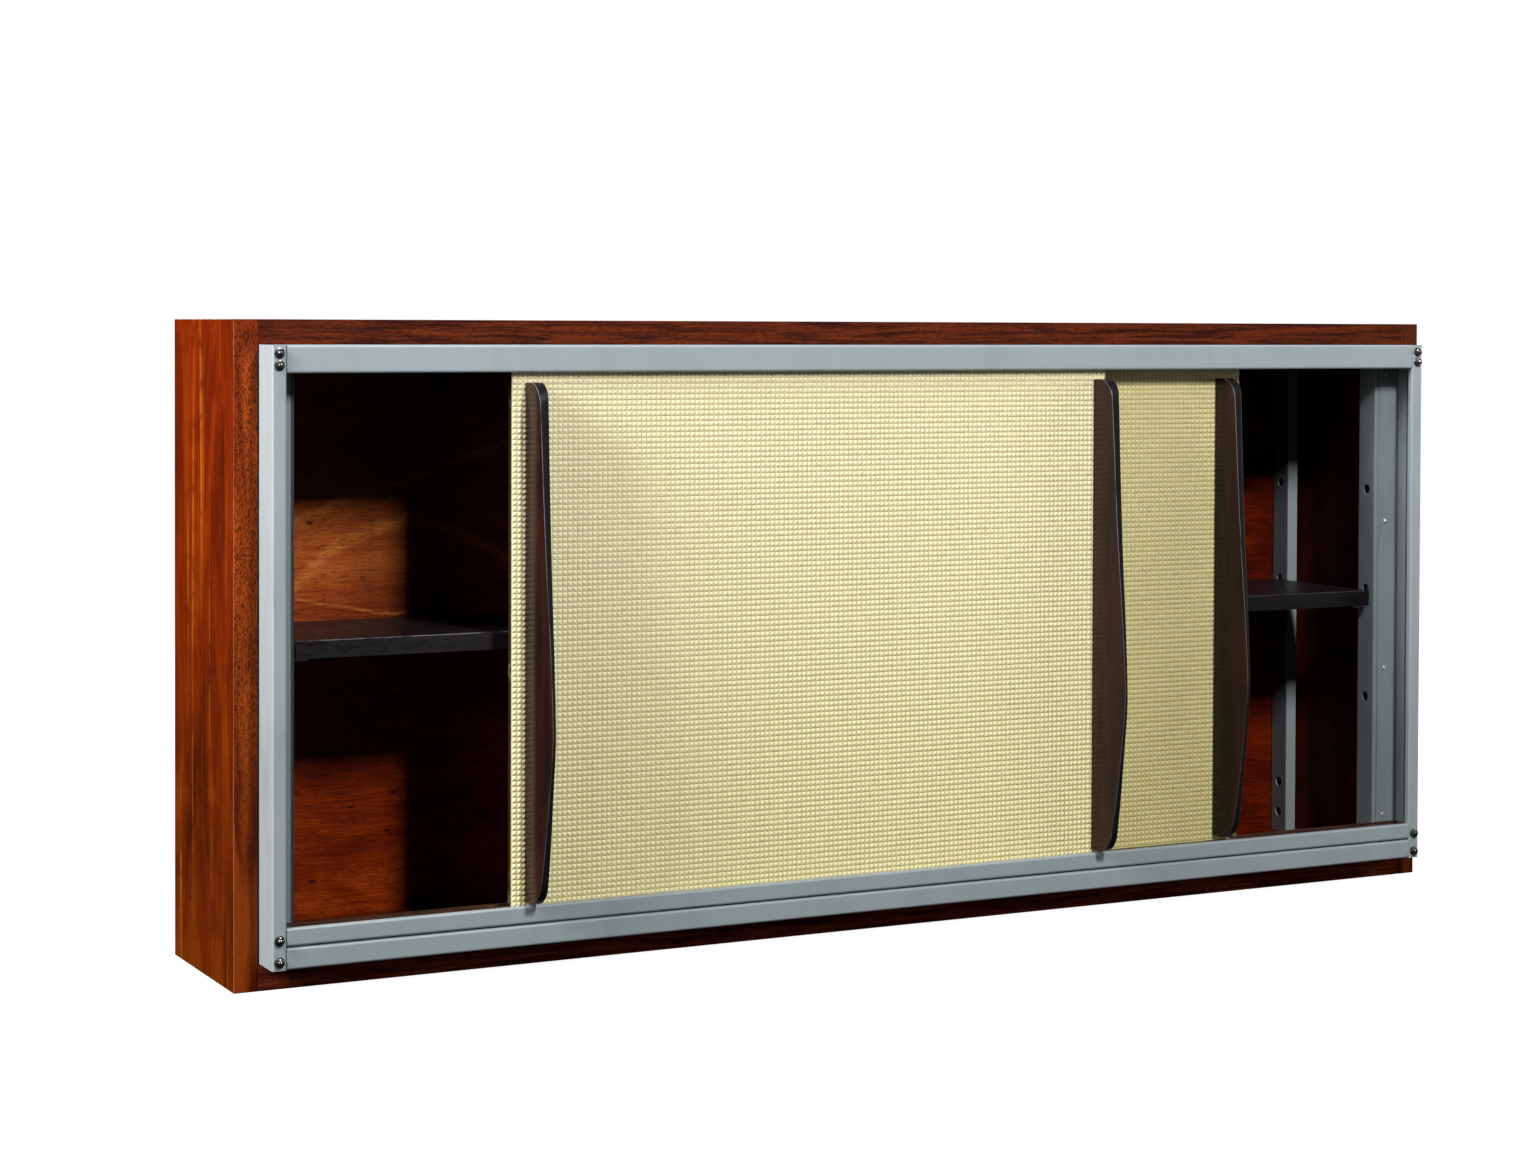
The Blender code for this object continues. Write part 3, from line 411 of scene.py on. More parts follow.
@dataclass(frozen=True)
class FiguredWood(Recipe):
    """Mahogany under a satin lacquer, with soft flames, golden threads and dark pores.

    The flames come from a broad noise stretched along the grain and bent by a
    slower one, and a cloudy mottle lies across them. The threads are the peaks of
    a noise drawn far out along the grain. The pores come from a much finer
    noise that is cut off high, so that only short flecks are left. The edge that
    faces the front has colours and pores of its own. Where arris is set, a thin
    light line runs along the outer face from that y. Painted shade makes the face
    darker and browner towards the foot and darker away from the sides' outer faces,
    and the right board's front edge darker. Painted light and shade make the left
    front edge darker low down and paler up high.
    """

    grain: Axis
    face: Stops = (
        (0.38, (0.056, 0.005, 0.0003)), (0.50, (0.128, 0.0112, 0.0004)), (0.62, (0.188, 0.024, 0.0007)))
    flame: float = 11.0
    flame_length: float = 0.22
    thread: Colour = (0.42, 0.10, 0.01)
    pore: Colour = (0.026, 0.004, 0.0016)
    # painted shade: the face darker and browner towards the foot
    foot: Colour = (0.77, 1.15, 1.05)
    painted_foot_height: Pair = (0.02, 0.60)
    roughness: Pair = (0.35, 0.48)
    specular: float = 0.08
    edge: Stops = ((0.38, (0.13, 0.015, 0.001)), (0.60, (0.33, 0.056, 0.004)))
    edge_flame: Triple = (26.0, 26.0, 4.0)
    edge_pores: Triple = (820.0, 820.0, 290.0)
    edge_fleck: Colour = (0.026, 0.004, 0.0018)
    edge_cut: Pair = (0.50, 0.59)
    edge_hold: Pair = (0.22, 0.88)
    edge_fade: Pair = (0.08, 0.34)
    # painted light and shade: the left front edge darker low down, paler up high
    painted_edge_rise: Steps = (0.14, 0.76, 0.70, 1.36)
    edge_turn: Pair = (0.60, 0.74)
    # painted shade: the right board's front edge darker
    painted_right_edge_shade: float = 0.34
    inner_face: Pair = (0.768, 0.774)
    # painted shade: darker away from the sides' outer faces, as inside the cabinet
    painted_inner_shade: float = 0.85
    # a thin light line along the outer face's front corner
    arris: float | None = None
    arris_width: float = 0.9 * MM
    bare: Colour = (0.62, 0.26, 0.12)

    def lay(self, coat: Coat) -> Material:
        """Lay the face and the front edge, and the painted light and shade over both.

        Args:
            coat: The empty material.

        Returns:
            The finished material.
        """
        along = self.grain.stretch
        flames = coat.noise(along(self.flame, self.flame * self.flame_length), 4.0, 0.6, 1.5)
        fine = coat.noise(along(190, 3), 3.0, 0.6)
        mottle = coat.noise(along(26, 34), 4.0, 0.6)
        figure = coat.math("ADD", *(
            coat.times(part, share) for part, share in ((flames, 0.60), (fine, 0.22), (mottle, 0.18))))
        drawn = coat.noise(along(110, 1.9), 2.0, 0.5, 0.25, shift=(3.1, 1.7, 0.4))
        threads = coat.times(coat.sweep(drawn, 0.58, 0.74), coat.sweep(mottle, 0.34, 0.6, 0.1, 0.7))
        flecks = coat.sweep(coat.noise(along(900, 70), 2.0), 0.59, 0.68, 0.0, 0.55)
        face = coat.mix(threads, coat.ramp(figure, self.face), self.thread)
        face = coat.mix(flecks, face, self.pore)
        # a thin light line along the outer face's front corner
        if self.arris is not None:
            line = coat.along("Y", self.arris, self.arris + self.arris_width, 1.0, 0.0)
            bare = coat.times(line, coat.sweep(fine, 0.34, 0.54, 0.25, 0.8))
            face = coat.mix(bare, face, self.bare)
        # painted shade: darker and browner towards the foot
        face = coat.tint(face, coat.mix(coat.along("Z", *self.painted_foot_height), self.foot, WHITE))
        front = coat.front(-0.95, -0.6)
        dashes = coat.times(coat.sweep(coat.noise(self.edge_pores, 2.0, 0.62), *self.edge_cut),
                            coat.along("Z", *self.edge_fade, *self.edge_hold))
        edge = coat.ramp(coat.noise(self.edge_flame, 4.0, 0.62, 0.9), self.edge)
        edge = coat.mix(dashes, edge, self.edge_fleck)
        colour = coat.tint(coat.mix(front, face, edge), self.shade(coat, front))
        coat.relief(coat.math("SUBTRACT", fine, coat.times(dashes, front)), 0.1 * MM, 0.4)
        return coat.dress(colour, coat.sweep(fine, 0.3, 0.7, *self.roughness), self.specular)

    def shade(self, coat: Coat, front: Socket) -> Socket:
        """Painted light and shade: darker inside and on the right board's edge, the left edge darker low
        and paler high.

        Args:
            coat: The material under work.
            front: 1 where the surface faces the front.

        Returns:
            A grey to multiply the colour by, above 1 where painted light makes the edge paler.
        """
        # painted shade for the inside
        cheek = coat.sweep(coat.size("X"), *self.inner_face, self.painted_inner_shade, 1.0)
        # painted light and shade along the front edges
        left_edge = coat.along("Z", *self.painted_edge_rise)
        return coat.blend(front, cheek, coat.along("X", *self.edge_turn, left_edge, self.painted_right_edge_shade))


@dataclass(frozen=True)
class BackVeneer(Recipe):
    """Thin figured board: level waves of red and gold, with small knots.

    It is golden above, most of all at the left, and redder below. Towards the right
    it turns much darker, a painted shade for the back of the right bay. On the face
    that shows inside, pale bands sweep over the upper part on parabolas, each given as
    x, z, slope, curve and half width. Each knot is a small flat ellipse, dark in the
    middle, whose outline a noise roughens.
    """

    name: str = "back_veneer"
    above: Stops = (
        (0.38, (0.20, 0.024, 0.003)), (0.50, (0.35, 0.063, 0.009)), (0.64, (0.48, 0.118, 0.019)))
    below: Stops = (
        (0.38, (0.11, 0.008, 0.0003)), (0.50, (0.215, 0.022, 0.0006)), (0.66, (0.35, 0.062, 0.003)))
    # painted shade: much darker colours for the back of the right bay
    right: Stops = ((0.40, (0.044, 0.0023, 0.0001)), (0.64, (0.175, 0.015, 0.0002)))
    right_shade_turn: Pair = (0.1, 0.5)
    rising: Pair = (0.28, 0.37)
    fading: Steps = (-0.620, -0.550, 1.0, 0.60)
    band: Colour = (0.64, 0.205, 0.038)
    bands: tuple[Steps, ...] = (
        (-0.570, 0.468, 0.42, -3.6, 0.0125), (-0.570, 0.510, 0.33, 0.0, 0.0095),
        (-0.570, 0.381, -0.17, 0.0, 0.0030))
    sway: float = 22.0 * MM
    knot: Colour = (0.012, 0.003, 0.0015)
    knots: tuple[Pair, ...] = (
        (-0.634, 0.481), (-0.533, 0.166), (-0.585, 0.152), (-0.540, 0.122), (-0.631, 0.070))
    knot_size: Pair = (5.5 * MM, 2.4 * MM)
    roughness: float = 0.38

    def lay(self, coat: Coat) -> Material:
        """Lay the figure in its three colourings, the bands, the knots and the flecks.

        Args:
            coat: The empty material.

        Returns:
            The finished material.
        """
        waves = coat.noise((5, 1, 13), 3.0, 0.55, 1.4, turn=(0, 0.22, 0))
        fine = coat.noise((26, 1, 330), 4.0, 0.66, 0.4, turn=(0, 0.06, 0))
        figure = coat.math("ADD", coat.times(waves, 0.55), coat.times(fine, 0.45))
        above = coat.tint(coat.ramp(figure, self.above), coat.along("X", *self.fading))
        above = coat.mix(self.sweeps(coat, fine), above, self.band)
        left = coat.mix(coat.along("Z", *self.rising), coat.ramp(figure, self.below), above)
        # painted shade: the right part darker
        base = coat.mix(coat.along("X", *self.right_shade_turn), left, coat.ramp(figure, self.right))
        rough = coat.times(coat.noise((420, 1, 420), 2.0), 1.2)
        wide, tall = self.knot_size
        spots = []
        for x, z in self.knots:
            away = coat.away(coat.place((1 / wide, 0, 1 / tall), (-x / wide, 0, -z / tall)))
            spots.append(coat.sweep(coat.math("ADD", away, rough), 0.9, 1.9, 0.9, 0.0))
        flecks = coat.sweep(coat.noise((90, 1, 760), 2.0), 0.54, 0.66, 0.0, 0.55)
        coat.relief(fine, 0.08 * MM, 0.3)
        colour = coat.mix(coat.math("MAXIMUM", *spots, flecks), base, self.knot)
        return coat.dress(colour, self.roughness, 0.16)

    def sweeps(self, coat: Coat, fine: Socket) -> Socket:
        """Where the pale bands lie.

        Args:
            coat: The material under work.
            fine: Fine grain, which breaks the bands up.

        Returns:
            A mask from 0 to 1.
        """
        across, height = coat.part("X"), coat.part("Z")
        drift = coat.times(coat.math("SUBTRACT", coat.noise((14, 1, 9), 3.0, 0.6), 0.5), self.sway)
        lines = []
        for x, z, slope, curve, half in self.bands:
            run = coat.math("SUBTRACT", across, x)
            rise = coat.math("ADD", coat.times(run, run, curve), coat.times(run, slope), z)
            gap = coat.math("ABSOLUTE", coat.math("SUBTRACT", coat.math("ADD", height, drift), rise))
            lines.append(coat.sweep(gap, 0.0, half * math.hypot(1, slope), 1.0, 0.0))
        return coat.times(coat.math("MAXIMUM", *lines), coat.front(-0.9, -0.5),
                          coat.sweep(fine, 0.40, 0.62, 0.25, 0.70))


@dataclass(frozen=True)
class PaintedSteel(Recipe):
    """Blue-grey paint on folded sheet, faintly mottled, with soft grey smudges.

    Grey darkens all of it, as painted shade for pieces set back in the cabinet. The
    faces that look sideways get a grey of their own, painted light above 1 and painted
    shade below, and the foot is darker, painted shade.
    """

    # painted shade: grey darkens pieces set back in the cabinet
    grey: float = 1.0
    # painted light and shade on the faces that look sideways
    painted_side_shade: float = 1.0
    roughness: Pair = (0.35, 0.48)
    paint: Colour = (0.330, 0.383, 0.401)
    shade: Colour = (0.300, 0.352, 0.370)
    smudge: Colour = (0.205, 0.240, 0.255)
    smudged: Steps = (0.66, 0.775, 0.12, 0.55)
    # painted shade: darker towards the bottom
    foot: Steps = (0.0, 0.62, 0.89, 1.0)

    def lay(self, coat: Coat) -> Material:
        """Lay the mottle, the smudges near the ends, and the painted shade of the foot and the sides.

        Args:
            coat: The empty material.

        Returns:
            The finished material.
        """
        mottle = coat.noise((14, 14, 9), 4.0, 0.6)
        base = coat.mix(coat.sweep(mottle, 0.35, 0.7), self.paint, self.shade)
        streaks = coat.sweep(coat.noise((26, 26, 4), 5.0, 0.62, 0.6), 0.52, 0.74)
        dirt = coat.times(streaks, coat.sweep(coat.size("X"), *self.smudged))
        sideways = coat.sweep(coat.size("X", "Normal"), 0.6, 0.9, 1.0, self.painted_side_shade)
        # painted light and shade: sideways faces, the foot and set-back pieces
        painted_shade = coat.times(sideways, coat.along("Z", *self.foot), self.grey)
        coat.relief(coat.noise((700, 700, 700), 2.0), 0.03 * MM, 0.35)
        colour = coat.tint(coat.mix(dirt, base, self.smudge), painted_shade)
        return coat.dress(colour, coat.sweep(mottle, 0.3, 0.7, *self.roughness), 0.45)


@dataclass(frozen=True)
class PressedSheetPaint(Recipe):
    """Pale yellow paint on the pointed door sheet, darker down in its valleys: painted shade.

    It is darker and yellower towards the foot and paler up high, painted shade and
    painted highlight. High and low each hold the colours of a valley and of a point.
    Where scar is set, the paint has flaked off one low corner, from an x to the right
    and from a z down.
    """

    # painted light and shade: paler up high, darker and yellower low down
    high: tuple[Colour, Colour] = ((0.640, 0.585, 0.270), (0.822, 0.768, 0.522))
    low: tuple[Colour, Colour] = ((0.620, 0.555, 0.205), (0.800, 0.737, 0.430))
    slope: Pair = (0.0, 0.35)
    foot: Pair = (0.02, 0.58)
    grime: Colour = (0.47, 0.42, 0.21)
    bare: Colour = (0.016, 0.010, 0.007)
    scar: Pair | None = None
    scar_soft: Pair = (2.0 * MM, 3.0 * MM)
    roughness: Pair = (0.36, 0.48)

    def lay(self, coat: Coat) -> Material:
        """Lay the paint by its height on the points, the grime and the scar.

        Args:
            coat: The empty material.

        Returns:
            The finished material.
        """
        rise = coat.add("ShaderNodeAttribute", {}, attribute_name="rise").outputs["Fac"]
        # painted shade: valleys darker than points
        high, low = (coat.ramp(rise, tuple(zip(self.slope, pair))) for pair in (self.high, self.low))
        # painted light and shade along the height
        base = coat.mix(coat.along("Z", *self.foot), low, high)
        worn = coat.noise((7, 7, 1.2), 4.0, 0.6)
        specks = coat.sweep(coat.noise((160, 160, 160), 2.0, 0.6), 0.60, 0.72)
        dirt = coat.times(specks, coat.sweep(worn, 0.4, 0.7, 0.05, 0.35))
        colour = coat.mix(dirt, base, self.grime)
        if self.scar:
            (x, z), (soft_x, soft_z) = self.scar, self.scar_soft
            flakes = coat.sweep(coat.noise((330, 330, 330), 2.0), 0.58, 0.62, 1.0, 0.0)
            gone = coat.times(coat.along("X", x - soft_x, x + soft_x),
                              coat.along("Z", z - soft_z, z + soft_z, 1.0, 0.0), flakes)
            colour = coat.mix(gone, colour, self.bare)
        coat.relief(coat.noise((900, 900, 900), 1.0), 0.03 * MM, 0.3)
        return coat.dress(colour, coat.sweep(worn, 0.35, 0.65, *self.roughness), 0.6)


@dataclass(frozen=True)
class HandleLacquer(Recipe):
    """Near-black red-brown gloss lacquer over wood whose grain runs upright."""

    name: str = "handle_lacquer"
    cheek: Stops = ((0.36, (0.0085, 0.004, 0.0035)), (0.66, (0.026, 0.008, 0.006)))
    edge: Colour = (0.0055, 0.0056, 0.0075)
    roughness: Pair = (0.17, 0.23)
    edge_roughness: float = 0.5
    specular: Pair = (0.20, 0.15)

    def lay(self, coat: Coat) -> Material:
        """Lay the streaked cheeks and the duller front edge.

        Args:
            coat: The empty material.

        Returns:
            The finished material.
        """
        streaks = coat.noise((60, 60, 7), 4.0, 0.6)
        front = coat.front(-0.8, -0.3)
        colour = coat.mix(front, coat.ramp(streaks, self.cheek), self.edge)
        coat.relief(coat.noise((700, 700, 60), 2.0, 0.6), 0.02 * MM, 0.12)
        gloss = coat.blend(front, coat.sweep(streaks, 0.3, 0.7, *self.roughness), self.edge_roughness)
        return coat.dress(colour, gloss, coat.blend(front, *self.specular))


@dataclass(frozen=True)
class RubbedArrisAndHighlight(Recipe):
    """Lacquer rubbed thin and grey along a handle's arris, most of all near its top, with a painted
    highlight laid in.
    """

    name: str = "rubbed_arris_and_highlight"
    covered: Colour = (0.019, 0.016, 0.016)
    rubbed: Colour = (0.135, 0.120, 0.135)
    # paler towards the top: painted highlight as well as wear
    growth: Steps = (0.15, 0.62, 0.30, 1.0)
    roughness: float = 0.35

    def lay(self, coat: Coat) -> Material:
        """Lay the pale patches: partly rubbed bare, partly painted highlight.

        Args:
            coat: The empty material.

        Returns:
            The finished material.
        """
        patches = coat.noise((40, 40, 22), 4.0, 0.65)
        bare = coat.times(coat.sweep(patches, 0.36, 0.56), coat.along("Z", *self.growth))
        coat.relief(patches, 0.02 * MM, 0.2)
        return coat.dress(coat.mix(bare, self.covered, self.rubbed), self.roughness)


@dataclass(frozen=True)
class StainedShelf(Recipe):
    """Purple-black stain with a fine grain along the width and a paler arris, partly wear and partly a
    painted highlight.

    Its front edge is paler at the left end and darker at the right one: painted light and shade.
    """

    top: float
    stain: Stops = ((0.36, (0.0045, 0.0035, 0.0045)), (0.66, (0.020, 0.013, 0.014)))
    arris: Colour = (0.130, 0.120, 0.135)
    arris_band: Pair = (-0.9 * MM, 1.0 * MM)
    arris_soft: float = 0.3 * MM
    edge: Colour = (0.0095, 0.0100, 0.0125)
    # painted light and shade along the front edge
    painted_edge_tone: Steps = (-0.3, 0.3, 1.35, 0.45)
    roughness: Pair = (0.36, 0.52)

    def lay(self, coat: Coat) -> Material:
        """Lay the stain, the front edge and its arris.

        Args:
            coat: The empty material.

        Returns:
            The finished material.
        """
        grain = coat.noise((5, 120, 120), 4.0, 0.65, 0.3)
        mottle = coat.noise((70, 70, 160), 5.0, 0.7)
        figure = coat.math("ADD", coat.times(grain, 0.6), coat.times(mottle, 0.4))
        front = coat.front(-0.95, -0.25)
        handled = coat.times(front, coat.sweep(mottle, 0.42, 0.58))
        base = coat.mix(handled, coat.ramp(figure, self.stain), self.edge)
        # pale arris line: partly wear, partly a painted highlight
        low, high = (self.top + part for part in self.arris_band)
        level = coat.band(coat.part("Z"), low, high, self.arris_soft)
        worn = coat.times(level, front, coat.sweep(coat.noise((40, 8, 8)), 0.38, 0.56))
        coat.relief(grain, 0.06 * MM, 0.4)
        # painted light and shade: the front edge paler at the left end, darker at the right
        painted_tone = coat.blend(front, 1.0, coat.along("X", *self.painted_edge_tone))
        colour = coat.tint(coat.mix(worn, base, self.arris), painted_tone)
        return coat.dress(colour, coat.sweep(mottle, 0.3, 0.7, *self.roughness), 0.2)


@dataclass(frozen=True)
class DoorCoreEdge(Recipe):
    """Dark edge of a door's core, chipped through to pale wood at a few heights."""

    chips: tuple[Pair, ...]
    wood: Stops = ((0.35, (0.010, 0.008, 0.007)), (0.68, (0.030, 0.020, 0.015)))
    bare: Colour = (0.20, 0.18, 0.16)
    soft: float = 3.0 * MM
    roughness: float = 0.5

    def lay(self, coat: Coat) -> Material:
        """Lay the dark grain and the chips.

        Args:
            coat: The empty material.

        Returns:
            The finished material.
        """
        grain = coat.noise((300, 300, 12), 4.0, 0.6)
        height = coat.part("Z")
        chips = coat.math("MAXIMUM", *(coat.band(height, *chip, self.soft) for chip in self.chips))
        ragged = coat.sweep(coat.noise((500, 260, 260), 4.0, 0.7), 0.46, 0.58)
        coat.relief(grain, 0.08 * MM, 0.5)
        colour = coat.mix(coat.times(chips, ragged), coat.ramp(grain, self.wood), self.bare)
        return coat.dress(colour, self.roughness)


@dataclass(frozen=True)
class WornRunner(Recipe):
    """Brown runner wood, rubbed down to orange and red wood where the doors have slid."""

    name: str = "runner_wood"
    wood: Stops = ((0.34, (0.016, 0.0075, 0.0055)), (0.62, (0.075, 0.026, 0.012)))
    bare: Colour = (0.33, 0.12, 0.05)
    roughness: float = 0.46

    def lay(self, coat: Coat) -> Material:
        """Lay the brown grain and the rubbed patches.

        Args:
            coat: The empty material.

        Returns:
            The finished material.
        """
        grain = coat.noise((9, 240, 240), 4.0, 0.62)
        rubbed = coat.sweep(coat.noise((38, 190, 190), 5.0, 0.7), 0.58, 0.72, 0.0, 0.8)
        coat.relief(grain, 0.1 * MM, 0.5)
        return coat.dress(coat.mix(rubbed, coat.ramp(grain, self.wood), self.bare), self.roughness)


@dataclass(frozen=True)
class AgedPlating(Recipe):
    """Plated fasteners gone dull, patched dark and bright by a tarnish noise."""

    dull: Colour = (0.032, 0.028, 0.029)
    bright: Colour = (0.360, 0.345, 0.330)
    metal: float = 1.0
    roughness: Pair = (0.44, 0.22)

    def lay(self, coat: Coat) -> Material:
        """Lay the tarnish.

        Args:
            coat: The empty material.

        Returns:
            The finished material.
        """
        tarnish = coat.noise((420, 420, 420), 4.0, 0.65)
        colour = coat.ramp(tarnish, ((0.40, self.dull), (0.62, self.bright)))
        coat.relief(tarnish, 0.1 * MM, 0.4)
        gloss = coat.sweep(tarnish, 0.35, 0.65, *self.roughness)
        return coat.dress(colour, gloss, Metallic=self.metal)


# The studio


@dataclass(frozen=True)
class Lamp:
    """A soft box: where it hangs, what it faces, how big and how strong it is."""

    name: str
    place: Triple
    target: Triple
    width: float
    height: float
    power: float
    colour: Colour = WHITE

    def hang(self) -> None:
        """Put the lamp in the scene, facing its target."""
        data = bpy.data.lights.new(self.name, "AREA")
        data.shape = "RECTANGLE"
        data.size = self.width
        data.size_y = self.height
        data.energy = self.power
        data.color = self.colour
        lamp = bpy.data.objects.new(self.name, data)
        lamp.location = self.place
        way = Vector(self.target) - Vector(self.place)
        lamp.rotation_euler = way.to_track_quat("-Z", "Y").to_euler()
        lamp.visible_camera = False
        bpy.context.scene.collection.objects.link(lamp)


@dataclass
class Studio:
    """White floor and backdrop, soft boxes, and the camera of the photograph."""

    eye: Triple = (-1.72492, -3.09130, 0.70772)
    yaw: float = 27.3644
    pitch: float = -1.2320
    roll: float = 0.2052
    lens: float = 69.547
    shift: float = -0.12158
    floor_size: float = 16.0
    paper: Stops = ((0.0, (0.085, 0.085, 0.085)), (1.0, (0.095, 0.095, 0.095)))
    glow: Steps = (1.0, 2.6, 0.95, 1.0)
    fill: float = 0.009
    fill_colour: Colour = (0.9, 0.95, 1.0)
    lamps: tuple[Lamp, ...] = (
        Lamp("key_box", (0.035, -3.05, 2.67), (0.0, -0.1, 0.36), 0.42, 0.58, 130.0),
        Lamp("side_box", (-3.20, -0.45, 2.10), (-0.4, -0.05, 0.36), 1.3, 1.5, 212.0, (1.0, 0.955, 0.940)),
        Lamp("left_wall", (-2.90, -1.50, 0.90), (0.0, -0.05, 0.36), 1.0, 1.4, 9.0),
        Lamp("right_wall", (2.90, -1.50, 0.90), (0.0, -0.05, 0.36), 1.0, 1.4, 16.0),
        Lamp("rear_box", (0.40, 3.20, 1.70), (0.0, 0.15, 0.36), 2.2, 1.4, 80.0),
        Lamp("far_box", (3.20, 1.00, 1.60), (0.5, 0.05, 0.36), 1.3, 1.5, 80.0),
        Lamp("floor_bounce", (0.0, -1.9, 0.02), (0.0, 0.0, 0.30), 2.6, 1.0, 0.4),
    )

    def build(self) -> None:
        """Lay the floor, hang the lamps and place the camera."""
        self.lay_floor()
        self.light_world()
        for lamp in self.lamps:
            lamp.hang()
        self.place_camera()

    def lay_floor(self) -> None:
        """A white sheet under the cabinet, glowing so that it stays as pale as the backdrop."""
        half = self.floor_size / 2
        corners = np.array([(-half, -half, 0), (half, -half, 0), (half, half, 0), (-half, half, 0)])
        mesh = build_mesh("studio_floor", corners, [np.array([[0, 1, 2, 3]])])
        coat = Coat("white_floor")
        glow = coat.sweep(coat.away(coat.coordinates["Object"]), *self.glow)
        paper = coat.ramp(coat.noise((3, 3, 3)), self.paper)
        mesh.materials.append(coat.dress(paper, 0.9, 0.0, Emission_Color=WHITE, Emission_Strength=glow))
        floor = bpy.data.objects.new("studio_floor", mesh)
        bpy.context.scene.collection.objects.link(floor)
        floor.visible_diffuse = False
        floor.visible_glossy = False

    def light_world(self) -> None:
        """White where the camera sees it, and a faint fill for the rest."""
        world = bpy.data.worlds.new("studio_world")
        bpy.context.scene.world = world
        world.use_nodes = True
        nodes, links = world.node_tree.nodes, world.node_tree.links
        nodes.clear()
        rays, mix, output = (
            nodes.new(f"ShaderNode{kind}") for kind in ("LightPath", "MixShader", "OutputWorld"))
        for place, (colour, strength) in enumerate(((self.fill_colour, self.fill), (WHITE, 1.0)), 1):
            light = nodes.new("ShaderNodeBackground")
            light.inputs["Color"].default_value = (*colour, 1.0)
            light.inputs["Strength"].default_value = strength
            links.new(light.outputs[0], mix.inputs[place])
        links.new(rays.outputs["Is Camera Ray"], mix.inputs["Fac"])
        links.new(mix.outputs[0], output.inputs["Surface"])

    def place_camera(self) -> None:
        """Aim the camera by its yaw to the right, its pitch and its roll."""
        yaw, pitch, roll = (math.radians(angle) for angle in (self.yaw, self.pitch, self.roll))
        aim = Matrix.Rotation(-yaw, 4, "Z") @ Matrix.Rotation(math.pi / 2 + pitch, 4, "X")
        data = bpy.data.cameras.new("camera")
        data.lens = self.lens
        data.shift_y = self.shift
        data.clip_end = 50.0
        camera = bpy.data.objects.new("camera", data)
        camera.matrix_world = Matrix.Translation(self.eye) @ aim @ Matrix.Rotation(roll, 4, "Z")
        bpy.context.scene.collection.objects.link(camera)
        bpy.context.scene.camera = camera
        bpy.context.scene.view_settings.view_transform = "Standard"


# Sub-assemblies


def dress_nodes(nodes: dict, recipe: Recipe, *names: str) -> None:
    """Give CAD nodes a finish in every material slot.

    Args:
        nodes: The frame's nodes by name.
        recipe: Their finish.
        names: The nodes to dress.
    """
    finish = recipe.material()
    for name in names:
        for slot in nodes[name].material_slots:
            slot.material = finish


def names_starting(nodes: dict, *starts: str) -> tuple[str, ...]:
    """Names of the nodes that begin with one of some words."""
    return tuple(sorted(name for name in nodes if name.startswith(starts)))


@dataclass
class Carcass:
    """Five boards of figured mahogany."""

    def dress(self, nodes: dict) -> None:
        """Give every board the grain that runs along it.

        Args:
            nodes: The frame's nodes by name.
        """
        low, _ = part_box("left_side")
        sides = FiguredWood("mahogany_side", Axis.UPRIGHT, arris=low.y)
        top = FiguredWood(
            "mahogany_top", Axis.ALONG_WIDTH, flame=24.0, foot=WHITE, roughness=(0.55, 0.68), specular=0.0,
            edge=((0.38, (0.0315, 0.0088, 0.0062)), (0.60, (0.1255, 0.023, 0.008))),
            edge_flame=(8.0, 160.0, 160.0), edge_pores=(120.0, 900.0, 900.0),
            edge_fleck=(0.01, 0.0024, 0.0018), edge_cut=(0.53, 0.62), edge_hold=(0.1375, 0.55),
            painted_edge_rise=(0.0, 1.0, 1.0, 1.0), painted_right_edge_shade=1.0)
        # painted light: the base board's front edge is lightened to stand in for light bounced into the
        # sill rail's shadow
        base = replace(
            top, name="mahogany_base", edge_fade=(-1.0, -0.5),
            edge=((0.38, (0.08, 0.011, 0.005)), (0.60, (0.34, 0.062, 0.024))))
        dress_nodes(nodes, sides, "left_side", "right_side")
        dress_nodes(nodes, top, "top_board")
        dress_nodes(nodes, base, "base_board")
        dress_nodes(nodes, BackVeneer(), "back_board")


@dataclass
class FaceFrame:
    """Stiles, rails, jambs and uprights in folded and painted steel.

    Each set-back piece has its own grey, and another one for its sideways faces: painted
    shade and light for where it stands. The left front upright is painted almost black,
    a painted shade.
    """

    proud: tuple[str, ...] = ("left_stile", "right_stile", "top_rail", "lower_rail", "sill_rail")
    set_back: tuple[tuple[str, float, float], ...] = (
        # painted shade and light: each set-back piece's grey, and the grey of its sideways faces
        ("left_jamb", 0.64, 1.0), ("right_jamb", 0.67, 1.55), ("front_upright_left", 0.10, 1.0),
        ("front_upright_right", 0.66, 1.25), ("rear_upright", 0.88, 0.60))

    def dress(self, nodes: dict) -> None:
        """Paint every folded piece.

        Args:
            nodes: The frame's nodes by name.
        """
        dress_nodes(nodes, PaintedSteel("painted_frame"), *self.proud)
        for start, *painted_greys in self.set_back:
            inner = PaintedSteel(f"painted_{start}", *painted_greys, roughness=(0.41, 0.54))
            dress_nodes(nodes, inner, *names_starting(nodes, start))


@dataclass
class ShelfAndRunners:
    """The stained shelf on its wires, and the grooved runners."""

    def dress(self, nodes: dict) -> None:
        """Stain the shelf and wear the runners.

        Args:
            nodes: The frame's nodes by name.
        """
        _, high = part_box("shelf")
        dress_nodes(nodes, StainedShelf("shelf_stain", high.z), "shelf")
        dress_nodes(nodes, WornRunner(), "sill_runner", "top_runner")
        zinc = AgedPlating("bright_zinc", (0.40, 0.40, 0.39), (0.86, 0.87, 0.86), 0.25)
        dress_nodes(nodes, zinc, *names_starting(nodes, "shelf_clip"))
        small = AgedPlating("small_screws", (0.16, 0.16, 0.16), (0.96, 0.97, 0.95), 0.35, (0.48, 0.26))
        dress_nodes(nodes, small, *names_starting(
            nodes, "left_jamb_screw", "right_jamb_screw", "stile_fixing"))


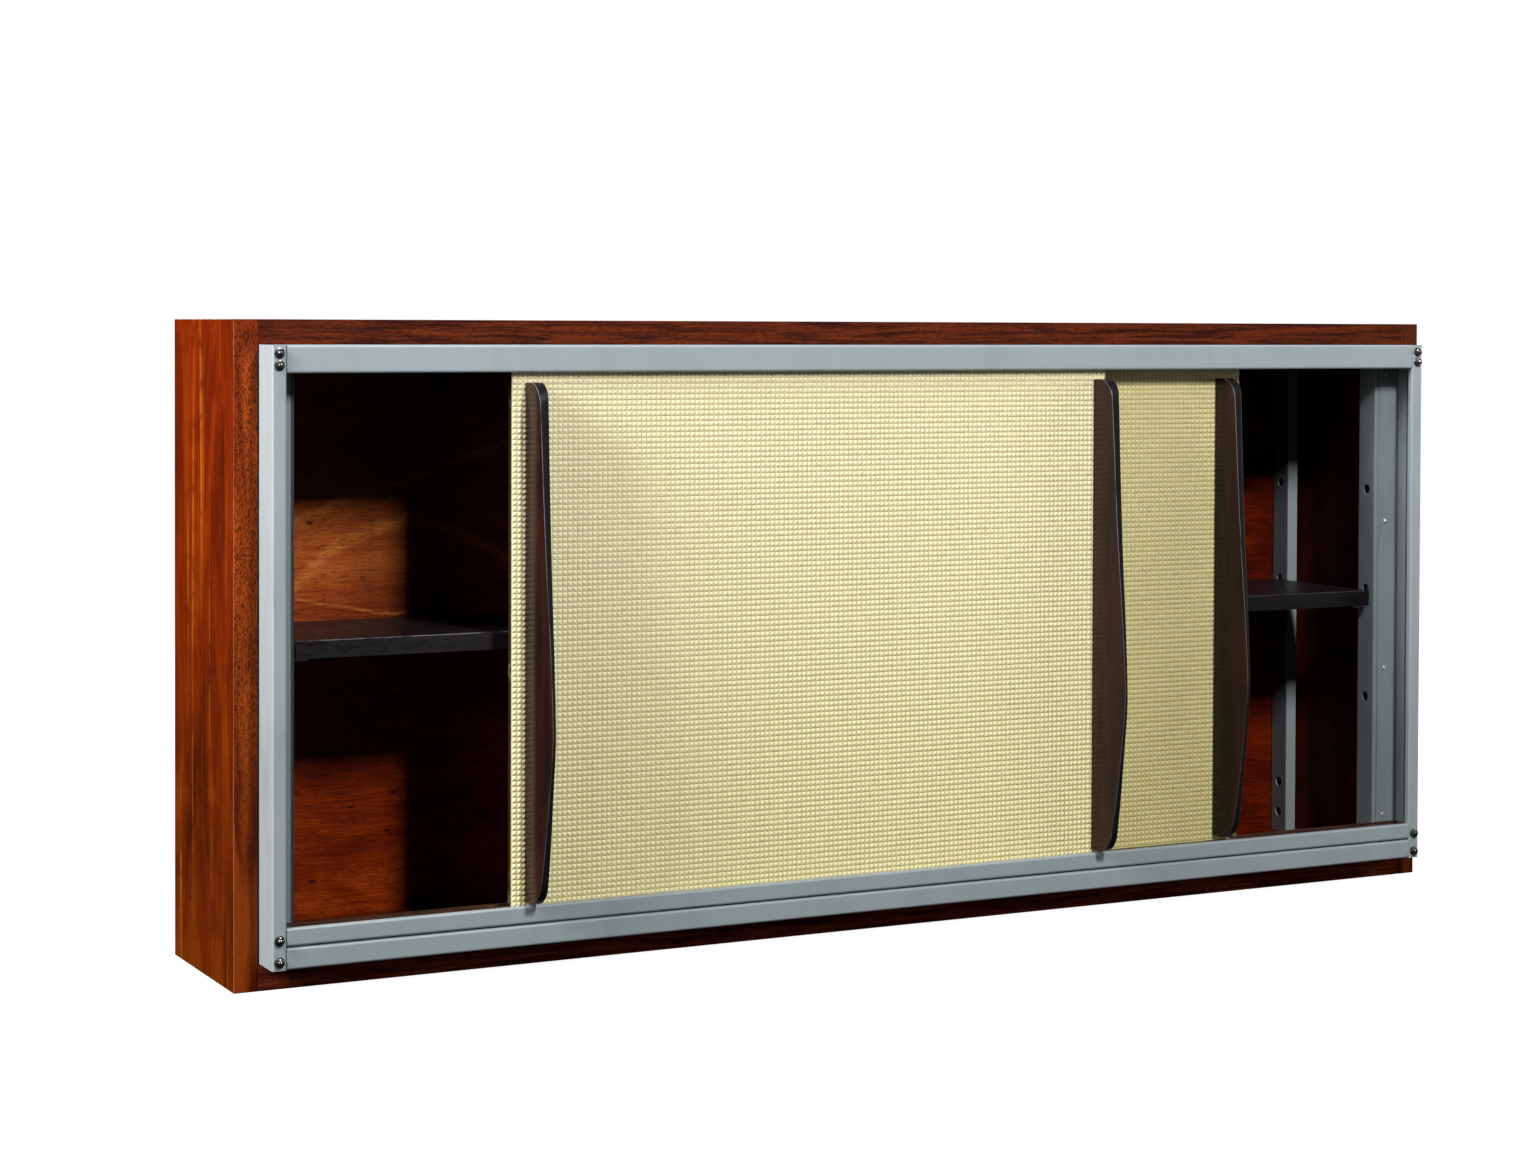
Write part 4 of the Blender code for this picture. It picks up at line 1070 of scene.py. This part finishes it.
@dataclass
class BoltSet:
    """The frame's eight bolts, each with a chamfered nut on a washer.

    The nut's face falls away from a circle to its corners, as a real nut's does,
    and the bolt's end carries shallow threads.
    """

    across_flats: float = 8.0 * MM
    nut_height: float = 3.4 * MM
    washer_height: float = 1.0 * MM
    washer_radius: float = 5.6 * MM
    bolt_radius: float = 2.5 * MM
    bolt_end: float = 2.6 * MM
    pitch: float = 0.8 * MM
    chamfer: float = math.radians(30)
    face_circle: float = 0.46
    ease: float = 0.3 * MM
    dome: float = 0.8 * MM
    thread_depth: float = 0.07
    turn_step: float = 0.37
    sides: int = 72

    @property
    def angles(self) -> np.ndarray:
        """Angles of a ring's points."""
        return np.linspace(0, 2 * np.pi, self.sides, endpoint=False)

    def rings(self, radii: list[np.ndarray], depths: list[np.ndarray]) -> np.ndarray:
        """Rings round the bolt's axis from radii and depths at each angle.

        Args:
            radii: For each ring its radius, a number or one for each angle.
            depths: For each ring its place along Y, a number or one for each angle.

        Returns:
            Points as (ring, angle, coordinate).
        """
        radius, depth = (
            np.stack([np.broadcast_to(row, self.sides) for row in rows]) for rows in (radii, depths))
        return np.stack([radius * np.cos(self.angles), depth, radius * np.sin(self.angles)], axis=-1)

    def nut(self) -> np.ndarray:
        """The nut's rings.

        The outline's radius is the half width across the flats over the cosine of
        the angle from the middle of a flat. Past a circle just inside the flats
        the face drops by the tangent of the chamfer's angle.

        Returns:
            Points as (ring, angle, coordinate).
        """
        turned = (self.angles + np.pi / 6) % (np.pi / 3) - np.pi / 6
        outline = self.across_flats / 2 / np.cos(turned)
        face = -(self.washer_height + self.nut_height)
        flat = self.face_circle * self.across_flats
        drop = face + (outline - flat) * math.tan(self.chamfer)
        back = -self.washer_height / 2
        return self.rings([0.0, flat, outline, outline, 0.0], [face, face, drop, back, back])

    def washer(self) -> np.ndarray:
        """The washer's rings, with a small rounding at its front rim.

        Returns:
            Points as (ring, angle, coordinate).
        """
        edge, high, ease = self.washer_radius, -self.washer_height, self.ease
        return self.rings([0.0, edge - ease, edge - ease * 0.3, edge, edge, 0.0],
                          [high, high, high + ease * 0.3, high + ease, 0.0, 0.0])

    def bolt(self, length: float) -> np.ndarray:
        """The bolt's rings: a domed end, threads as a sine along the axis, and the shank.

        Args:
            length: How far the shank reaches behind the stile's face.

        Returns:
            Points as (ring, angle, coordinate).
        """
        start = self.pitch - self.washer_height - self.nut_height
        dome = np.linspace(0, np.pi / 2, 6)
        thread = np.linspace(self.dome - self.reach, start, 24)
        wave = np.cos(2 * np.pi * (thread + self.reach) / self.pitch)
        ridge = self.bolt_radius * (1 - self.thread_depth * (1 - wave))
        radii = [*(np.sin(dome) * self.bolt_radius * 0.9), *ridge, self.bolt_radius, 0.0]
        return self.rings(radii, [*(self.dome * (1 - np.cos(dome)) - self.reach), *thread, length, length])

    @property
    def reach(self) -> float:
        """How far the bolt stands out of the stile's face."""
        return self.washer_height + self.nut_height + self.bolt_end

    def build(self, nodes: dict) -> int:
        """Replace every bolt node by its detailed shape.

        Args:
            nodes: The frame's nodes by name.

        Returns:
            How many bolts there are.
        """
        plating = AgedPlating("aged_plating").material()
        names = [name for name in sorted(nodes) if "_rail_bolt_" in name]
        for number, name in enumerate(names, 1):
            low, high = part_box(name)
            face = low.y + self.reach
            centre = np.array([(low.x + high.x) / 2, face, (low.z + high.z) / 2])
            cos, sin = math.cos(self.turn_step * number), math.sin(self.turn_step * number)
            spin = np.array([[cos, 0, -sin], [0, 1, 0], [sin, 0, cos]])
            shells, faces, first = [], [], 0
            for rings in (self.nut(), self.washer(), self.bolt(high.y - face)):
                points, parts = turned_shell(rings, first)
                shells.append(points)
                faces.extend(parts)
                first += len(points)
            mesh = build_mesh(f"{name}_detailed", np.vstack(shells) @ spin.T + centre, faces)
            mesh.set_sharp_from_angle(angle=SHARP_ANGLE)
            piece = add_piece(mesh, plating, nodes[name]["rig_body"])
            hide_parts(name)
        return len(names)


@dataclass
class PointedSheet:
    """The pale sheet of a door, pressed all over into small square points.

    Each cell of the lattice holds a low pyramid between narrow flat valleys. The
    sheet is a closed body: relief in front, a rim, and a flat back.
    """

    node: str
    body: str
    pitch: float = 6.0 * MM
    valley: float = 0.30 * MM
    depth: float = 1.65 * MM
    rim: float = 0.3 * MM
    unevenness: float = 0.07 * MM
    seed: int = 7

    def lattice(self, low: float, high: float) -> tuple[np.ndarray, int]:
        """Lines of the lattice between two edges, for a whole number of cells.

        Args:
            low: One edge.
            high: The other edge.

        Returns:
            The lines from edge to edge, and the number of cells.
        """
        count = round((high - low - 2 * self.rim) / self.pitch)
        pitch = (high - low - 2 * self.rim) / count
        starts = low + self.rim + np.arange(count) * pitch
        pairs = np.stack([starts + self.valley / 2, starts + pitch - self.valley / 2], axis=-1)
        return np.concatenate([[low], pairs.ravel(), [high]]), count

    def build(self, finish: Material) -> None:
        """Make the sheet and let it stand for the CAD node.

        The valley floor is a grid of all lines in both ways. Over each cell of
        odd numbers four triangles rise to a point in the cell's middle, moved by
        a small seeded amount. The rim runs back from the grid's outer points.

        Args:
            finish: The sheet's paint.
        """
        low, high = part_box(self.node)
        across, columns = self.lattice(low.x, high.x)
        upright, rows = self.lattice(low.z, high.z)
        wide, tall = len(across), len(upright)
        grid_x, grid_z = np.meshgrid(across, upright)
        grid_y = np.full_like(grid_x, low.y + self.depth)
        floor = np.stack([grid_x, grid_y, grid_z], axis=-1).reshape(-1, 3)
        quads = grid_quads(tall, wide).reshape(tall - 1, wide - 1, 4)
        cells = quads[1::2, 1::2].reshape(-1, 4)
        is_flat = np.ones((tall - 1, wide - 1), bool)
        is_flat[1::2, 1::2] = False
        flats = quads[is_flat]

        rng = np.random.default_rng(self.seed)
        peaks = floor[cells].mean(axis=1)
        peaks[:, [0, 2]] += rng.uniform(-self.unevenness, self.unevenness, (len(peaks), 2))
        peaks[:, 1] = low.y + rng.uniform(0, self.unevenness, len(peaks))
        tops = len(floor) + np.arange(len(peaks))
        facets = np.concatenate([
            np.stack([cells[:, side], cells[:, (side + 1) % 4], tops], axis=-1) for side in range(4)])

        numbers = np.arange(len(floor)).reshape(tall, wide)
        outline = np.concatenate([
            numbers[0, :-1], numbers[:-1, -1], numbers[-1, :0:-1], numbers[:0:-1, 0]])
        behind = floor[outline].copy()
        behind[:, 1] = high.y
        start = len(floor) + len(peaks)
        here = start + np.arange(len(outline))
        rim = np.stack([outline, here, np.roll(here, -1), np.roll(outline, -1)], axis=-1)
        back = here[None, ::-1]

        points = np.vstack([floor, peaks, behind])
        mesh = build_mesh(f"{self.node}_pointed", points, [flats, facets, rim, back])
        mesh.shade_flat()
        # rise: 0 in the valleys, 1 at the points, for the paint's painted shade in the valleys
        rise = np.zeros(len(points), np.float32)
        rise[tops] = 1.0
        mesh.attributes.new("rise", "FLOAT", "POINT").data.foreach_set("value", rise)
        piece = add_piece(mesh, finish, self.body)
        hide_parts(self.node)


@dataclass
class Handle:
    """An upright fin: flat on its right, hollowed on its left, widest below the middle.

    Its length, reach and thickness are those of the CAD node that it stands for.
    """

    node: str
    body: str
    profile: tuple[tuple[float, float], ...] = (
        (0.000, 0.608), (0.114, 0.776), (0.225, 0.901), (0.332, 1.000), (0.437, 0.950),
        (0.637, 0.801), (1.000, 0.611))
    pale_right_arris: bool = False
    front_edge: float = 3.6 * MM
    end_edge: float = 10.2 * MM
    spread: float = 1.3
    foot_corner: float = 24.0 * MM
    right_top_corner: float = 18.5 * MM
    left_top_corner: float = 25.0 * MM
    arris: float = 0.5 * MM
    arris_steps: int = 5
    corner_steps: int = 14
    span_steps: int = 110
    hollow_steps: int = 12

    def reach_share(self, share: np.ndarray) -> np.ndarray:
        """How far the front edge reaches, as a share of the widest, at shares of the height.

        Between the profile's points it is a cubic whose slopes at the points are
        the mean slopes there, and level at the widest one.

        Args:
            share: Shares of the height, from 0 to 1.

        Returns:
            The share of the widest reach at each.
        """
        heights, reaches = np.array(self.profile).T
        slopes = np.gradient(reaches, heights)
        slopes[np.argmax(reaches)] = 0.0
        after = np.clip(np.searchsorted(heights, share), 1, len(heights) - 1)
        before = after - 1
        run, rise = heights[after] - heights[before], reaches[after] - reaches[before]
        way = (share - heights[before]) / run
        start, end = slopes[before] * run - rise, rise - slopes[after] * run
        return reaches[before] + way * rise + way * (1 - way) * ((1 - way) * start + way * end)

    def outline(self, length: float, widest: float, top_corner: float) -> np.ndarray:
        """Side view up the front edge, with a quarter circle at the foot and at the top.

        Args:
            length: The handle's height.
            widest: Its reach at the widest place.
            top_corner: Radius of the top corner.

        Returns:
            Reach and height of each point.
        """
        turn = np.linspace(0, np.pi / 2, self.corner_steps)
        foot = self.foot_corner * (1 - np.cos(turn[:-1]))
        span = np.linspace(self.foot_corner, length - top_corner, self.span_steps)
        top = length - top_corner * (1 - np.sin(turn[1:]))
        height = np.concatenate([foot, span, top])
        reach = self.reach_share(height / length) * widest
        reach[:len(foot)] -= self.foot_corner * (1 - np.sin(turn[:-1]))
        reach[-len(top):] -= top_corner * (1 - np.cos(turn[1:]))
        return np.stack([reach, height], axis=-1)

    def eased(self, path: np.ndarray, inset: np.ndarray) -> np.ndarray:
        """Copies of an outline moved square to itself, towards the wood.

        Args:
            path: Reach and height of each point.
            inset: How far each copy is moved.

        Returns:
            Points as (point, copy, coordinate).
        """
        along = np.gradient(path, axis=0)
        along /= np.linalg.norm(along, axis=1, keepdims=True)
        inward = np.stack([-along[:, 1], along[:, 0]], axis=-1)
        return path[:, None] + inward[:, None] * inset[None, :, None]

    def build(self, finish: Material, rubbed: Material) -> None:
        """Make the handle and let it stand for the CAD node.

        Each row of the grid goes from the base along the flat right face, round
        the right arris, over the front edge, round the left arris and back along
        the left face, which stands off the far side by the square of the share of
        the reach. An arris is a quarter circle. The front edge widens by a power
        of how far the reach falls short of its widest. Rows follow the outline
        from foot to top, and the last column closes the base.

        Args:
            finish: The handle's lacquer.
            rubbed: The finish of its pale arrises, wear with a painted highlight.
        """
        low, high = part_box(self.node)
        thick, widest, length = high.x - low.x, high.y - low.y, high.z - low.z
        right = self.outline(length, widest, self.right_top_corner)
        left = self.outline(length, widest, self.left_top_corner)
        least = min(reach for _, reach in self.profile)
        short = np.clip((1 - self.reach_share(left[:, 1] / length)) / (1 - least), 0, 1)
        edge = self.front_edge + (self.end_edge - self.front_edge) * short ** self.spread
        turn = np.linspace(0, np.pi / 2, self.arris_steps)
        inset, aside = self.arris * (1 - np.sin(turn)), self.arris * (1 - np.cos(turn))
        right_round, left_round = self.eased(right, inset), self.eased(left, inset[::-1])
        out = np.linspace(1, 0, self.hollow_steps)[1:]
        rows = len(right)
        base = right_round[:, :1] * [0, 1]
        hollow = left_round[:, -1:] * np.stack([out, np.ones_like(out)], axis=-1)
        side_view = np.concatenate([base, right_round, left_round, hollow], axis=1)
        across = np.concatenate([
            np.full((rows, 1), high.x), np.tile(high.x - aside, (rows, 1)),
            (high.x - edge)[:, None] + aside[::-1], low.x + (thick - edge)[:, None] * out ** 2], axis=1)
        grid = np.stack([across, high.y - side_view[..., 0], low.z + side_view[..., 1]], axis=-1)
        columns = grid.shape[1]
        quads = grid_quads(rows, columns, wrap=True)[:, ::-1]
        numbers = np.arange(rows * columns).reshape(rows, columns)
        mesh = build_mesh(f"{self.node}_fin", grid.reshape(-1, 3), [quads, numbers[:1], numbers[-1:, ::-1]])
        mesh.set_sharp_from_angle(angle=SHARP_ANGLE)
        piece = add_piece(mesh, finish, self.body)
        mesh.materials.append(rubbed)
        # pale arris strips: wear and a painted highlight
        worn = np.zeros((rows - 1, columns), np.int32)
        strips = (1 + self.arris_steps, 1) if self.pale_right_arris else (1 + self.arris_steps,)
        for first in strips:
            worn[:, first:first + self.arris_steps - 1] = 1
        mesh.polygons.foreach_set("material_index", np.append(worn.ravel(), [0, 0]))
        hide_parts(self.node)


@dataclass
class Doors:
    """Two doors: a core behind a pointed sheet, and fin handles on them."""

    chips: tuple[tuple[float, float], ...] = (
        (0.619, 0.626), (0.323, 0.337), (0.1015, 0.1092), (0.0762, 0.0872))
    sheets: tuple[PointedSheet, ...] = field(default_factory=lambda: (
        PointedSheet("front_door_sheet", "front_door", seed=7),
        PointedSheet("rear_door_sheet", "rear_door", seed=11)))
    handles: tuple[Handle, ...] = field(default_factory=lambda: (
        Handle("front_door_outer_handle", "front_door"),
        Handle("front_door_meeting_handle", "front_door"),
        Handle("rear_door_handle", "rear_door", pale_right_arris=True)))

    def build(self, nodes: dict) -> None:
        """Make the sheets and dress the cores, handles and screws.

        Args:
            nodes: The frame's nodes by name.
        """
        # painted shade: the rear sheet's paint is a darker, yellower copy of the front one, for the door
        # behind the meeting handle
        paints = (
            PressedSheetPaint("front_sheet_paint"),
            PressedSheetPaint(
                "rear_sheet_paint", ((0.560, 0.490, 0.170), (0.715, 0.642, 0.365)),
                ((0.535, 0.460, 0.140), (0.665, 0.587, 0.300)), scar=(0.474, 0.083)))
        for sheet, paint in zip(self.sheets, paints):
            sheet.build(paint.material())
        dress_nodes(nodes, DoorCoreEdge("door_core_edge", self.chips), "front_door_core", "rear_door_core")
        lacquer, rubbed = HandleLacquer().material(), RubbedArrisAndHighlight().material()
        for handle in self.handles:
            handle.build(lacquer, rubbed)
        screws = (name for name in nodes if "handle_screw" in name)
        dress_nodes(nodes, AgedPlating("handle_screws"), *screws)


def main() -> None:
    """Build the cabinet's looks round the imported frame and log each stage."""
    logging.basicConfig(level=logging.INFO, format="%(name)s: %(message)s")
    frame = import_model()
    nodes = frame["nodes"]
    Studio().build()
    log.info("studio stands")
    Carcass().dress(nodes)
    log.info("carcass dressed")
    FaceFrame().dress(nodes)
    log.info("face frame painted")
    ShelfAndRunners().dress(nodes)
    log.info("shelf and runners dressed")
    log.info("%d bolts made", BoltSet().build(nodes))
    Doors().build(nodes)
    log.info("doors made")


if __name__ == "__main__":
    main()
